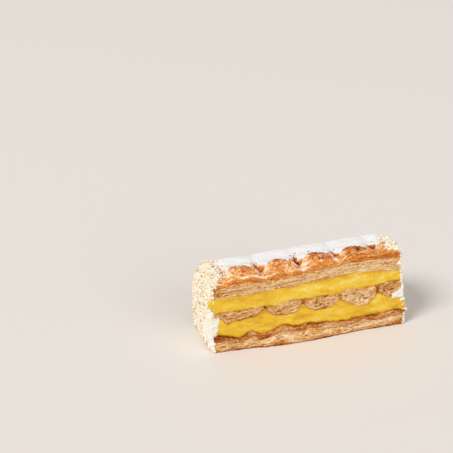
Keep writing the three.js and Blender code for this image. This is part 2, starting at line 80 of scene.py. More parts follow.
DOME_ROW = {"y": -8.6, "reach": 7.6, "height": 3.1}
SUGARED_ROW = {"y": 4.5, "reach": 9.5, "height": 0.8}
DENT = {"depth": 1.5, "y": -6.5, "reach_x": STEP * 1.6, "reach_y": 6.0, "back_reach": 1.8}
FRONT_FALL = 1.9
FRONT_NOTCH = {"depth": 1.1, "reach": 5.0}
FRONT_LIFT = {"height": 4.0, "start": 10.0, "end": 24.0}
BACK_FALL = {"drop": 5.0, "start": 6.0, "end": HALF_WIDTH + 3, "power": 1.1}
BACK_SAG = {"height": 1.0, "start": 5.0, "end": 25.0}
LEFT_ROUNDING = {"front": 0.6, "back": 5.4, "start": -49.0, "reach": 9.0}
RIGHT_ROUNDING = {"drop": 2.6, "start": 45.0, "reach": 7.0}
MOST_ROUNDING = 1.3

PINCH_DEPTH = 2.3

# Rises and dips along the top of the bottom pastry: place, height, reach.
BASE_SWELLS = (
    (-56.0, 1.5, 7.0),
    (-43.5, -1.8, 6.0),
    (-36.5, 1.8, 4.5),
    (-29.5, -1.4, 6.0),
    (-17.0, 2.6, 8.0),
    (-3.0, 1.1, 7.0),
    (20.0, -0.9, 12.0),
    (50.0, 1.2, 8.0),
)

FLARE = {"reach": 3.4, "height": 11.0, "power": 1.3}
FLARE_SPREAD = 46.0
FRONT_FLARE_X = -8.0
BACK_FLARE_X = 8.0

# Unevenness of each surface: its height and its phase.
BASE_SWAY = (0.35, 1.3)
MIDDLE_SWAY = (0.25, 2.6)
ROOF_SWAY = (0.3, 5.1)
CROWN_UNEVENNESS = 0.2
WAVES = ((0.31, 0.17, 1.0), (0.73, -0.29, 2.1), (1.37, 0.53, 3.7))

# The sugar's front edge over one dome, from dent to dent: it wraps both shoulders of the dome.
SUGAR_AT = (0.0, 0.04, 0.09, 0.15, 0.25, 0.4, 0.52, 0.64, 0.74, 0.83, 0.89, 0.94, 1.0)
SUGAR_FRONTS = (-5.0, -6.0, -9.6, -9.2, -8.0, -7.8, -8.2, -9.4, -10.6, -11.6, -10.4, -5.6, -5.0)
SUGAR_BACK = {"y": 16.6, "bite": 2.8, "x": 28.0, "reach": 17.0}

COAT_FOOT = 0.5
SHOULDER_CLEARANCE = 0.6
SHOULDER_START = 0.85
SHOULDER_TURN = math.pi / 4
CORNER_REACH = 0.8
LEFT_LIP = -51.0
RIGHT_LIP = 50.0
COAT_STEPS = 14
FACE_SHARE = 10 / COAT_STEPS

CREAM_THICKNESS = 1.9
CREAM_INSET = 0.2
CREAM_WEDGE_X = 49.5
CREAM_WEDGE_RUN = 2.5
CREAM_FLOOR = 18.2

# ---- Small helpers --------------------------------------------------------------------------


def clamp(value, low=0.0, high=1.0):
    return np.clip(value, low, high)


def lerp(start, end, share):
    return start + (end - start) * share


def ease(value, start, end):
    t = clamp((value - start) / (end - start))
    return t * t * (3 - 2 * t)


def swell(distance, reach):
    """A smooth hump of the given reach, 1 at its centre and 0 at its edge."""
    return (1 + np.cos(np.pi * clamp(np.abs(distance) / reach))) / 2


def sway(along, across, waviness):
    """The gentle unevenness that the part's surfaces have."""
    height, phase = waviness
    total = sum(np.sin(a * along + b * across + c * phase) for a, b, c in WAVES)
    return height * total / len(WAVES)


def lattice(i, j, seed):
    """A repeatable random number between -1 and 1 for each whole-numbered place."""
    mixed = np.asarray(i * 374761393 + j * 668265263 + seed * 974634777, np.int64).astype(np.uint32)
    for shift, factor in ((15, 2246822519), (13, 3266489917), (16, 668265263)):
        mixed = (mixed ^ (mixed >> np.uint32(shift))) * np.uint32(factor)
    return (mixed ^ (mixed >> np.uint32(15))) / 2147483647.5 - 1


def noise(u, v, seed):
    """Smooth noise between -1 and 1, with features one unit across."""
    u, v = np.broadcast_arrays(np.asarray(u, float), np.asarray(v, float))
    i, j = np.floor(u).astype(np.int64), np.floor(v).astype(np.int64)
    s, t = u - i, v - j
    s, t = s * s * (3 - 2 * s), t * t * (3 - 2 * t)
    low = lerp(lattice(i, j, seed), lattice(i + 1, j, seed), s)
    high = lerp(lattice(i, j + 1, seed), lattice(i + 1, j + 1, seed), s)
    return lerp(low, high, t)


def rough(u, v, seed, octaves=3):
    """Noise with finer noise on it, each octave half as high."""
    total, height = 0.0, 1.0
    for octave in range(octaves):
        total = total + height * noise(u * 2**octave, v * 2**octave, seed + octave)
        height /= 2
    return total / (2 - 2 * height)


def plates(u, v, seed):
    """Irregular plates: the tone of the plate at each place, and the distance from its rim."""
    i, j = np.floor(u).astype(np.int64), np.floor(v).astype(np.int64)
    nearest = np.full(u.shape, 9.0)
    second = np.full(u.shape, 9.0)
    tone = np.zeros(u.shape)
    for di in (-1, 0, 1):
        for dj in (-1, 0, 1):
            ci, cj = i + di, j + dj
            cu = ci + 0.5 + 0.45 * lattice(ci, cj, seed)
            cv = cj + 0.5 + 0.45 * lattice(ci, cj, seed + 1)
            distance = np.hypot(u - cu, v - cv)
            closer = distance < nearest
            second = np.where(closer, nearest, np.minimum(second, distance))
            tone = np.where(closer, lattice(ci, cj, seed + 2), tone)
            nearest = np.where(closer, distance, nearest)
    return tone, second - nearest


# ---- The surfaces between the layers --------------------------------------------------------


def side_of(y):
    """-1 at the front cut and 1 at the back cut."""
    return y / HALF_WIDTH


def cut_side(y, apart=40):
    """Sets the patterns of the two cuts apart, so that the back isn't the front's mirror image."""
    return np.where(y < 0, 0, apart)


def base_top(x, y):
    z = BASE_LEVEL + sway(x, y, BASE_SWAY)
    for place, rise, reach in BASE_SWELLS:
        z = z + rise * swell(x - place - BASE_SLANT * (1 + side_of(y)), reach)
    return z


def dent_phase(x):
    """A whole number at each dent, counted from the left, and the dome between two of them."""
    return (x - FIRST_DENT) / DENT_PITCH


def dome_index(x):
    """Which of the domes and lobes a place belongs to."""
    return clamp(np.floor(dent_phase(x)), 0, DENTS - 1).astype(int)


# A dome's height along its length, from dent to dent: steep on the left, easy on the right.
PILLOW_AT = (0.0, 0.08, 0.14, 0.22, 0.32, 0.45, 0.56, 0.68, 0.8, 0.9, 0.96, 1.0)
PILLOW_HEIGHT = (0.0, 0.08, 0.34, 0.74, 0.93, 1.0, 0.99, 0.92, 0.78, 0.52, 0.2, 0.0)


def pillow_share(x):
    return np.interp(dent_phase(x) % 1, PILLOW_AT, PILLOW_HEIGHT)


def from_dent(x):
    """The distance from the nearest dent, negative on its left."""
    return x - FIRST_DENT - np.round(dent_phase(x)) * DENT_PITCH


def middle_top(x, y):
    return np.interp(x, MIDDLE_TOP_AT, MIDDLE_TOPS) + sway(x, y, MIDDLE_SWAY)


def middle_depth(x, y):
    """The back cut's lobes lie a little aside of the front cut's."""
    aside = 1.2 * (1 + side_of(y)) * noise(x / 15, 0 * x, 280)
    full = np.interp(x + aside, MIDDLE_DEPTH_AT, MIDDLE_DEPTHS)
    return full * (1 + 0.1 * (1 + side_of(y)) * noise(x / 12, 0 * x, 281))


def middle_bottom(x, y):
    return middle_top(x, y) - middle_depth(x, y)


def slope(x, climb):
    return climb["height"] * ease(x, climb["start"], climb["end"])


def roof(x, y):
    return ROOF_LEVEL + slope(x, ROOF_RISE) - slope(x, ROOF_FALL) + sway(x, y, ROOF_SWAY)


def domes(x, y):
    inside = ease(x, FIRST_DENT, FIRST_DENT + 2 * STEP)
    pillow = pillow_share(x + 0.35 * noise(x / 2.5, y / 2.5, 290)) * inside
    glazed = DOME_ROW["height"] * swell(y - DOME_ROW["y"], DOME_ROW["reach"])
    sugared = SUGARED_ROW["height"] * swell(y - SUGARED_ROW["y"], SUGARED_ROW["reach"])
    reach = np.where(y > DENT["y"], DENT["back_reach"], DENT["reach_y"])
    dent = DENT["depth"] * swell(from_dent(x), DENT["reach_x"]) * swell(y - DENT["y"], reach)
    return pillow * (glazed + sugared) - dent


def front_drop(x, y):
    near = 1 - ease(y, -HALF_WIDTH, DOME_ROW["y"])
    notch = FRONT_NOTCH["depth"] * swell(from_dent(x), FRONT_NOTCH["reach"])
    return near * (FRONT_FALL + notch - slope(x, FRONT_LIFT))


def back_drop(x, y):
    drop = BACK_FALL["drop"] + slope(-x, BACK_SAG)
    return drop * ease(y, BACK_FALL["start"], BACK_FALL["end"]) ** BACK_FALL["power"]


def end_rounding(x, y):
    drop = lerp(LEFT_ROUNDING["front"], LEFT_ROUNDING["back"], (1 + side_of(y)) / 2)
    left = clamp((LEFT_ROUNDING["start"] - x) / LEFT_ROUNDING["reach"])
    right = clamp((x - RIGHT_ROUNDING["start"]) / RIGHT_ROUNDING["reach"], 0, MOST_ROUNDING)
    return drop * left**2 + RIGHT_ROUNDING["drop"] * right**2


def crown(x, y):
    level = CROWN_LEVEL + CROWN_RISE * x + CROWN_UNEVENNESS * noise(x / 9, y / 7, 291)
    return level + domes(x, y) - front_drop(x, y) - back_drop(x, y) - end_rounding(x, y)


def tuck(z):
    return BASE_TUCK["depth"] * clamp(1 - z / BASE_TUCK["height"]) ** 2


def left_face(z, y):
    start = LEFT_SHOULDER["start"] - LEFT_SHOULDER["slant"] * side_of(y)
    t = clamp((z - start) / LEFT_SHOULDER["height"], 0, MOST_ROUNDING)
    return LEFT_FACE + tuck(z) + LEFT_SHOULDER["depth"] * t * t


def right_face(z, y):
    t = clamp((z - RIGHT_LEAN["start"]) / RIGHT_LEAN["height"], 0, MOST_ROUNDING)
    lean = RIGHT_LEAN["depth"] * t ** RIGHT_LEAN["power"]
    return RIGHT_FACE - tuck(z) - lean + RIGHT_LEAN["twist"] * side_of(y)


def flare(x, y, z):
    """How far a cut spreads out near the plate."""
    centre = np.where(y < 0, FRONT_FLARE_X, BACK_FLARE_X)
    low = clamp(1 - z / FLARE["height"]) ** FLARE["power"]
    return np.sign(y) * FLARE["reach"] * low * swell(x - centre, FLARE_SPREAD)


def sugar_front(x):
    return np.interp(dent_phase(x) % 1, SUGAR_AT, SUGAR_FRONTS)


def sugar_back(x):
    return SUGAR_BACK["y"] - SUGAR_BACK["bite"] * swell(x - SUGAR_BACK["x"], SUGAR_BACK["reach"])


# ---- Meshes ---------------------------------------------------------------------------------


def cut_block(columns, rows, levels):
    """A cube with its edges cut into that many columns, rows and levels, as a mesh from 0 to 1."""
    bm = bmesh.new()
    bmesh.ops.create_cube(bm, size=1.0)
    for axis, count in enumerate((columns, rows, levels)):
        if count > 1:
            whole = [e for e in bm.edges if abs((e.verts[0].co - e.verts[1].co)[axis]) > 0.9]
            bmesh.ops.subdivide_edges(bm, edges=whole, cuts=count - 1, use_grid_fill=True)
    bmesh.ops.translate(bm, verts=bm.verts[:], vec=(0.5, 0.5, 0.5))
    mesh = bpy.data.meshes.new("block")
    bm.to_mesh(mesh)
    bm.free()
    return mesh


def corners_of(mesh):
    flat = np.empty(len(mesh.vertices) * 3, np.float32)
    mesh.vertices.foreach_get("co", flat)
    return flat.reshape(-1, 3).astype(float)


def add_masks(mesh, masks):
    """Keeps what a material needs to know about each point: a number, or a place of its own."""
    for key, values in masks.items():
        values = np.asarray(values, np.float32)
        if values.ndim > 1:
            layer = mesh.attributes.new(key, "FLOAT_VECTOR", "POINT")
            layer.data.foreach_set("vector", values.ravel())
        else:
            layer = mesh.attributes.new(key, "FLOAT", "POINT")
            layer.data.foreach_set("value", values)


def piece(name, mesh, material, replaces=(), smooth=True):
    """Shows a mesh, in metres and in the part's frame, as a piece of the slice."""
    mesh.name = name
    mesh.materials.clear()
    mesh.materials.append(material)
    if smooth:
        mesh.shade_smooth()
    else:
        mesh.shade_flat()
    shown = bpy.data.objects.new(name, mesh)
    bpy.context.scene.collection.objects.link(shown)
    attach(shown, "root")
    if replaces:
        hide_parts(*replaces)


def block(name, columns, rows, levels, place, material, replaces):
    """A closed block whose grid points go where place says, with the masks that place gives."""
    mesh = cut_block(columns, rows, levels)
    u, v, w = corners_of(mesh).T
    points, masks = place(u, v, w)
    mesh.vertices.foreach_set("co", (np.stack(points, axis=-1) * MM).ravel().astype(np.float32))
    add_masks(mesh, masks)
    mesh.update()
    piece(name, mesh, material, replaces)


def joined(name, template, places, masks, material):
    """One mesh of many copies of a small closed shape; places holds each copy's corners."""
    copies, corners = places.shape[:2]
    sides = np.array([list(p.vertices) for p in template.polygons])
    faces = (sides[None] + np.arange(copies)[:, None, None] * corners).reshape(-1, sides.shape[1])
    mesh = bpy.data.meshes.new(name)
    mesh.from_pydata((places.reshape(-1, 3) * MM).tolist(), [], faces.tolist())
    for key, values in masks.items():
        each = values if len(values) == copies * corners else np.repeat(values, corners)
        add_masks(mesh, {key: each})
    piece(name, mesh, material, smooth=False)


# ---- Materials ------------------------------------------------------------------------------


def tint(red, green, blue):
    """A colour given as it looks on a screen, for a shader."""
    def straight(value):
        share = value / 255
        return share / 12.92 if share <= 0.04045 else ((share + 0.055) / 1.055) ** 2.4

    return (straight(red), straight(green), straight(blue), 1.0)


# Where a Mix node keeps its sockets for colours.
MIX_INPUTS = (0, 6, 7)
MIX_RESULT = 2


class Finish:
    """A procedural material that is put together node by node."""

    def __init__(self, name, **settings):
        self.material = bpy.data.materials.new(name)
        self.material.use_nodes = True
        self.tree = self.material.node_tree
        self.shader = self.tree.nodes["Principled BSDF"]
        for socket, value in settings.items():
            self.shader.inputs[socket.replace("_", " ")].default_value = value
        self.place = self.node("ShaderNodeTexCoord").outputs["Object"]

    def node(self, kind, **settings):
        made = self.tree.nodes.new(kind)
        for key, value in settings.items():
            setattr(made, key, value)
        return made

    def feed(self, socket, value):
        if isinstance(value, bpy.types.NodeSocket):
            self.tree.links.new(value, socket)
        else:
            socket.default_value = value

    def mask(self, name):
        return self.node("ShaderNodeAttribute", attribute_name=name).outputs["Fac"]

    def grain(self, scale, stretch=(1, 1, 1), detail=2.0, roughness=0.5, along=None):
        """Noise with features 1/scale metres across, drawn out where stretch is under 1.
        along names the mask whose places the noise follows, such as those in a stack of leaves."""
        mapping = self.node("ShaderNodeMapping")
        place = self.place
        if along:
            place = self.node("ShaderNodeAttribute", attribute_name=along).outputs["Vector"]
        self.feed(mapping.inputs["Vector"], place)
        mapping.inputs["Scale"].default_value = stretch
        texture = self.node("ShaderNodeTexNoise")
        self.feed(texture.inputs["Vector"], mapping.outputs["Vector"])
        texture.inputs["Scale"].default_value = scale
        texture.inputs["Detail"].default_value = detail
        texture.inputs["Roughness"].default_value = roughness
        return texture.outputs["Fac"]

    def cells(self, scale):
        texture = self.node("ShaderNodeTexVoronoi", feature="F1")
        self.feed(texture.inputs["Vector"], self.place)
        texture.inputs["Scale"].default_value = scale
        return texture.outputs["Distance"]

    def sum(self, first, second, factor=1.0):
        """first + second * factor"""
        made = self.node("ShaderNodeMath", operation="MULTIPLY_ADD")
        self.feed(made.inputs[0], second)
        made.inputs[1].default_value = factor
        self.feed(made.inputs[2], first)
        return made.outputs[0]

    def vary(self, value, pattern, factor):
        """value, moved up and down by a pattern that runs from 0 to 1."""
        return self.sum(value, self.sum(pattern, -0.5), factor)

    def span(self, value, low, high, start, end):
        """value, taken from low..high to start..end and held there."""
        made = self.node("ShaderNodeMapRange", clamp=True)
        self.feed(made.inputs["Value"], value)
        for socket, limit in zip(("From Min", "From Max", "To Min", "To Max"), (low, high, start, end)):
            made.inputs[socket].default_value = limit
        return made.outputs["Result"]

    def ramp(self, value, stops):
        made = self.node("ShaderNodeValToRGB")
        self.feed(made.inputs["Fac"], value)
        elements = made.color_ramp.elements
        for n, (position, colour) in enumerate(stops):
            element = elements[n] if n < 2 else elements.new(position)
            element.position = position
            element.color = colour
        return made.outputs["Color"]

    def mix(self, share, first, second):
        """The first colour where share is 0, the second where it is 1."""
        made = self.node("ShaderNodeMix", data_type="RGBA")
        for place, value in zip(MIX_INPUTS, (share, first, second)):
            self.feed(made.inputs[place], value)
        return made.outputs[MIX_RESULT]

    def bump(self, height, distance, strength=1.0, under=None):
        made = self.node("ShaderNodeBump")
        made.inputs["Strength"].default_value = strength
        made.inputs["Distance"].default_value = distance
        self.feed(made.inputs["Height"], height)
        if under is not None:
            self.feed(made.inputs["Normal"], under)
        return made.outputs["Normal"]

    def wear(self, **sockets):
        for socket, value in sockets.items():
            self.feed(self.shader.inputs[socket.replace("_", " ")], value)
        return self.material


# Each table of colours gives the place on its ramp and the colour there.
# Baked puff pastry and its glazed crust, from hardly baked to burnt.
LEAF_COLOURS = (
    (0.00, tint(252, 230, 194)),
    (0.25, tint(241, 203, 151)),
    (0.45, tint(228, 177, 113)),
    (0.60, tint(212, 150, 74)),
    (0.75, tint(194, 118, 34)),
    (0.88, tint(162, 80, 6)),
    (1.00, tint(112, 46, 2)),
)
CRUST_COLOURS = (
    (0.00, tint(254, 236, 206)),
    (0.18, tint(246, 206, 150)),
    (0.38, tint(234, 158, 72)),
    (0.57, tint(222, 128, 30)),
    (0.74, tint(186, 88, 30)),
    (0.87, tint(142, 60, 22)),
    (1.00, tint(88, 34, 6)),
)
# Painted shade for the gaps between leaves and for the folds, notches, pits and cavities of the cuts: a warm
# brown.
GAP_SHADE = tint(190, 102, 24)
# White specks of icing sugar; on the domes some of them are painted highlights.
SUGAR_AND_GLINT_COLOUR = tint(251, 240, 236)
CUSTARD_COLOURS = (
    (0.0, tint(220, 162, 0)),
    (0.3, tint(234, 184, 6)),
    (0.55, tint(240, 197, 30)),
    (0.8, tint(244, 208, 72)),
    (1.0, tint(248, 222, 122)),
)
# Icing sugar, from thick to so thin that the crust shows.
SUGAR_COLOURS = (
    (0.0, tint(252, 250, 250)),
    (0.4, tint(245, 242, 242)),
    (0.65, tint(222, 211, 208)),
    (0.9, tint(196, 158, 132)),
    (1.0, tint(176, 112, 72)),
)
CREAM_COLOURS = (
    (0.25, tint(236, 216, 184)),
    (0.42, tint(248, 240, 222)),
    (0.6, tint(254, 251, 243)),
)
# The coat between its crumbs, from cream to tan: the tan is partly baked crumb and partly painted shade
# between the crumbs.
COAT_COLOURS = (
    (0.0, tint(255, 252, 244)),
    (0.45, tint(250, 239, 216)),
    (0.65, tint(236, 208, 164)),
    (0.85, tint(208, 160, 100)),
)
PALE_CRUMB_COLOURS = (tint(255, 252, 244), tint(254, 246, 228), tint(245, 224, 186))
GOLDEN_CRUMB_COLOURS = (tint(236, 204, 150), tint(222, 168, 100), tint(188, 120, 58))
BROWN_CRUMB_COLOURS = (tint(206, 140, 72), tint(176, 100, 42), tint(128, 66, 26))


def pastry_finish(name, glazed=False):
    """Baked leaves; a glazed crust is browner and glossier where its mask says so."""
    finish = Finish(
        name,
        Subsurface_Weight=0.12,
        Subsurface_Scale=0.0008,
        Subsurface_Radius=(1.0, 0.75, 0.5),
        Specular_IOR_Level=0.2,
        Coat_Roughness=0.3,
    )
    threads = finish.grain(0.85, (0.17, 1, 1), 3.0, 0.6, along="stack")
    flecks = finish.grain(1.7, (0.36, 1, 1), 3.0, 0.7, along="stack")
    blotches = finish.grain(0.22, (0.6, 1, 1), 2.0, 0.5, along="stack")
    grain = finish.grain(1500, (0.8, 1, 1), 3.0, 0.7)
    bake = finish.mask("bake")
    for pattern, factor in ((threads, 0.65), (flecks, 1.2), (blotches, 0.35), (grain, 0.6)):
        bake = finish.vary(bake, pattern, factor)
    colour = finish.ramp(bake, LEAF_COLOURS)
    roughness = finish.span(bake, 0.2, 1.0, 0.85, 0.6)
    if glazed:
        colour = finish.mix(finish.mask("glaze"), colour, finish.ramp(bake, CRUST_COLOURS))
        roughness = finish.span(finish.mask("glaze"), 0, 1, 0.75, 0.48)
        finish.wear(Coat_Weight=finish.span(finish.mask("glaze"), 0, 1, 0, 0.18))
    # Painted shade in the gaps, folds, notches, pits and cavities of the cuts, where the gap mask says.
    colour = finish.mix(finish.span(finish.mask("gap"), 0.1, 0.8, 0, 0.9), colour, GAP_SHADE)
    # Icing sugar specks, which on the domes are partly painted highlights.
    specks = finish.vary(finish.mask("sugar_and_glints"), grain, 1.1)
    colour = finish.mix(finish.span(specks, 0.2, 0.75, 0, 0.95), colour, SUGAR_AND_GLINT_COLOUR)
    bump = finish.bump(flecks, 0.0004, 0.8)
    bump = finish.bump(grain, 0.0002, 0.8, bump)
    return finish.wear(Base_Color=colour, Roughness=roughness, Normal=bump)


def custard_finish():
    finish = Finish(
        "custard",
        Subsurface_Weight=0.35,
        Subsurface_Scale=0.002,
        Subsurface_Radius=(1.0, 0.75, 0.3),
        Coat_Weight=0.3,
        Coat_Roughness=0.22,
    )
    patches = finish.grain(130, (0.6, 1, 1), 2.0)
    smears = finish.grain(300, (0.6, 1, 1), 4.0, 0.6)
    fine = finish.grain(1100, (0.8, 1, 1), 2.0)
    tone = finish.vary(finish.mask("tone"), patches, 1.3)
    tone = finish.vary(tone, smears, 1.2)
    tone = finish.vary(tone, fine, 0.7)
    colour = finish.ramp(tone, CUSTARD_COLOURS)
    bump = finish.bump(smears, 0.0003, 0.5)
    bump = finish.bump(fine, 0.0001, 0.5, bump)
    return finish.wear(Base_Color=colour, Roughness=finish.span(fine, 0.3, 0.7, 0.3, 0.5), Normal=bump)


def sugar_finish():
    finish = Finish("icing_sugar", Roughness=0.95, Specular_IOR_Level=0.2)
    grain = finish.grain(1200, (1, 1, 1), 4.0, 0.75)
    drifts = finish.grain(240, (1, 1, 1), 2.0)
    thin = finish.vary(finish.mask("thin"), grain, 1.5)
    thin = finish.vary(thin, drifts, 0.35)
    colour = finish.ramp(thin, SUGAR_COLOURS)
    bump = finish.bump(drifts, 0.0003, 0.6)
    bump = finish.bump(grain, 0.0003, 1.0, bump)
    return finish.wear(Base_Color=colour, Normal=bump)


def cream_finish():
    finish = Finish(
        "white_cream",
        Subsurface_Weight=0.3,
        Subsurface_Scale=0.001,
        Subsurface_Radius=(1.0, 0.9, 0.75),
        Roughness=0.55,
    )
    folds = finish.grain(500, (1, 1, 1), 3.0)
    grain = finish.grain(1500, (1, 1, 1), 3.0, 0.7)
    tone = finish.vary(folds, grain, 0.7)
    colour = finish.ramp(tone, CREAM_COLOURS)
    bump = finish.bump(folds, 0.0004, 0.8)
    return finish.wear(Base_Color=colour, Normal=finish.bump(grain, 0.0003, 0.9, bump))


def coat_finish():
    finish = Finish("crumb_coat", Roughness=0.9)
    crumbs = finish.cells(1100)
    grain = finish.grain(1300, (1, 1, 1), 3.0, 0.65)
    patches = finish.grain(260, (1, 1, 1), 2.0)
    tone = finish.sum(grain, finish.mask("smooth"), -0.55)
    tone = finish.vary(tone, patches, 0.6)
    colour = finish.ramp(tone, COAT_COLOURS)
    bump = finish.bump(crumbs, 0.0005, 0.6)
    bump = finish.bump(grain, 0.0003, 0.8, bump)
    return finish.wear(Base_Color=colour, Normal=bump)


def crumb_finish(name, colours):
    finish = Finish(name, Roughness=0.85)
    grain = finish.grain(2200, (1, 1, 1), 2.0, 0.6)
    tone = finish.vary(finish.mask("tone"), grain, 0.6)
    colour = finish.ramp(tone, tuple(zip((0.0, 0.5, 1.0), colours)))
    return finish.wear(Base_Color=colour, Normal=finish.bump(grain, 0.0002, 0.8))


base_finish = pastry_finish("base_pastry")
middle_finish = pastry_finish("middle_pastry")
crust_finish = pastry_finish("glazed_crust", glazed=True)
custard_material = custard_finish()
sugar_material = sugar_finish()
cream_material = cream_finish()
coat_material = coat_finish()
pale_crumb = crumb_finish("pale_crumb", PALE_CRUMB_COLOURS)
golden_crumb = crumb_finish("golden_crumb", GOLDEN_CRUMB_COLOURS)
brown_crumb = crumb_finish("brown_crumb", BROWN_CRUMB_COLOURS)

# ---- Pastry leaves --------------------------------------------------------------------------

COLUMNS = 420
RIM_ROWS = np.array([0.0, 0.7, 1.6, 3.0, 6.0, 11.0])
LAYER_ROWS = np.concatenate([RIM_ROWS - HALF_WIDTH, [0.0], (HALF_WIDTH - RIM_ROWS)[::-1]])
RELIEF_DEPTH = 3.2                 # how far behind a cut its relief fades out
LEAF_OUT = 0.45                    # how far a leaf ends before or behind its neighbours
LEAF_RAG = 0.28                    # raggedness of a leaf's own edge
LEAF_OPENING = 0.65                # depth of the gaps between leaves
EDGE_RAG = 0.35                    # raggedness of a layer's upper and lower edges at a cut
BASE_LEAVES = 9
LOBE_LEAVES = 6
TOP_LEAVES = 9
BASE_BAND = (0.6, 0.74)            # share of the base's height where its brown upper band begins
BASE_FOLD = 0.67                   # and where the leaves fold back under that band
FIRST_LOBE_X = -53.0               # the first lobe's scorched end
# The pinched waists between lobes: how far beside a dent, how wide, and where they end.
PINCH = {"beside": 0.4, "reach": 1.9, "end": (44.0, 48.0)}


def leaf_edges(x, y, w, thickness, count, seed):
    """The cut edges of a stack of thin leaves: their relief, masks and places in the stack."""
    side = cut_side(y)
    warp = 0.8 * noise(x / 11, w * 3 + side, seed) + 0.55 * noise(x / 3.7, w * 6 + side, seed + 1)
    place = w * count + warp
    index = np.floor(place).astype(np.int64)
    edge = np.minimum(place - index, 1 - (place - index))
    boundary = np.round(place).astype(np.int64)
    opening = clamp(0.35 + 1.1 * noise(x / 2.6, boundary * 5.7 + side, seed + 2))
    # The gaps between leaves: hollowed in the relief, and darkened with painted shade by the finish.
    gap = np.exp(-((edge / 0.17) ** 2)) * opening
    out = noise(x / 5.5, index * 9.1 + side, seed + 3)
    rag = noise(x / 0.8, index * 4.3 + side, seed + 4)
    relief = LEAF_OUT * out + LEAF_RAG * rag - LEAF_OPENING * gap
    tone = lattice(index, side, seed + 5) * 0.55 + 0.45 * out
    stack = np.stack([x, y * 0.7 + side, (w + warp / count) * thickness], -1)
    return relief, gap, tone, stack


def ragged_edges(x, y, w, seed):
    """Small rises and dips of a layer's upper and lower edges, at a cut alone."""
    side = cut_side(y)
    top = 0.7 * noise(x / 2.3, side, seed) + 0.5 * noise(x / 0.8, side, seed + 1)
    foot = 0.7 * noise(x / 2.3, side, seed + 2) + 0.5 * noise(x / 0.8, side, seed + 3)
    return EDGE_RAG * near_cut(y) * (top * ease(w, 0.8, 1) - foot * ease(-w, -0.2, 0))


def pits(x, height, size, share, seed):
    """Small irregular hollows with thin walls between them; share is how many cells are hollow."""
    bend = 0.5 * noise(x / 1.5, height / 1.5, seed + 7)
    tone, rim = plates(x / size + bend, height / size * 1.5, seed)
    return ease(tone, 1 - 2 * share - 0.15, 1 - 2 * share + 0.15) * ease(rim, 0.02, 0.3)


def row_of(rows, v):
    """The y of each grid point: v counts the rows evenly, wherever they lie."""
    return rows[np.rint(v * (len(rows) - 1)).astype(int)]


def stacked(u, v, w, rows, floor, roof_of, left_inset=0.0, right_inset=0.0):
    """Grid places of a layer between two surfaces, before its cuts get their relief."""
    y = row_of(rows, v)
    middle = (floor(0 * y, y) + roof_of(0 * y, y)) / 2
    rough_x = lerp(left_face(middle, y) + left_inset, right_face(middle, y) - right_inset, u)
    rough_z = lerp(floor(rough_x, y), roof_of(rough_x, y), w)
    x = lerp(left_face(rough_z, y) + left_inset, right_face(rough_z, y) - right_inset, u)
    return x, y, lerp(floor(x, y), roof_of(x, y), w)


def near_cut(y):
    """1 at a cut, fading to 0 where its relief ends."""
    return clamp(1 - (HALF_WIDTH - np.abs(y)) / RELIEF_DEPTH)


def near_flare(y):
    """The spread of the base fades towards the middle of the slice."""
    return (np.abs(y) / HALF_WIDTH) ** 2


def bottom_pastry_place(u, v, w):
    x, y, z = stacked(u, v, w, LAYER_ROWS, lambda x, y: 0 * x, base_top, left_inset=0.2)
    thickness = base_top(x, y)
    relief, gap, tone, stack = leaf_edges(x, y, w, thickness, BASE_LEAVES, 100)
    near = near_cut(y)
    side = cut_side(y)
    band = 0.1 * noise(x / 5, side, 130) + 0.06 * noise(x / 1.7, side, 131)
    upper = ease(w + band, *BASE_BAND)
    fold = swell(w + band - BASE_FOLD, 0.1) * clamp(0.35 + noise(x / 4.5, side, 132))
    notch = clamp(noise(x / 0.9, side, 133) * 1.8 - 0.7) * ease(w, 0.86, 0.97)
    pit = pits(x, w * thickness + side, 1.3, 0.1, 140)
    body = 0.4 + 0.22 * tone + 0.2 * noise(x / 7, w * 4 + side, 120) - 0.14 * swell(w - 0.42, 0.3)
    toasted = 0.27 * upper + 0.06 * ease(w, 0.9, 0.98) + 0.4 * ease(-w, -0.12, -0.02)
    toasted = toasted + 0.07 * ease(-x, -20, 15) + 0.08 * ease(-x, 50, 58) + 0.16 * ease(x, 48, 57)
    rim = clamp(0.5 + 1.4 * noise(x / 1.8, side, 134)) * ease(w, 0.9, 0.98)
    scorched = clamp(0.6 + 1.5 * noise(x / 2.6, w * 5 + side, 135)) * swell(x + 51, 11)
    toasted = toasted + 0.16 * rim + 0.24 * scorched * ease(w, 0.5, 0.8)
    relief = relief + 0.4 * upper + 0.35 * ease(w, 0.86, 1) - 0.5 * fold - 0.6 * notch - 0.5 * pit
    # The gap mask, painted shade in the finish, takes in the folds, notches and pits.
    gap = clamp(gap + 0.9 * fold + notch + 0.6 * pit)
    y = y + flare(x, y, z) * near_flare(y) + np.sign(y) * relief * near
    z = z + ragged_edges(x, y, w, 150) * (w > 0.3)
    return (x, y, z), {"bake": body + toasted, "gap": gap * near, "sugar_and_glints": 0 * x, "stack": stack}


LOBE_PITS = np.array([0.07, 0.08, 0.12, 0.17, 0.16])    # share of each lobe that is hollow cells
LOBE_TONES = np.array([0.05, 0.0, -0.02, -0.14, 0.03])    # how much darker each lobe is baked
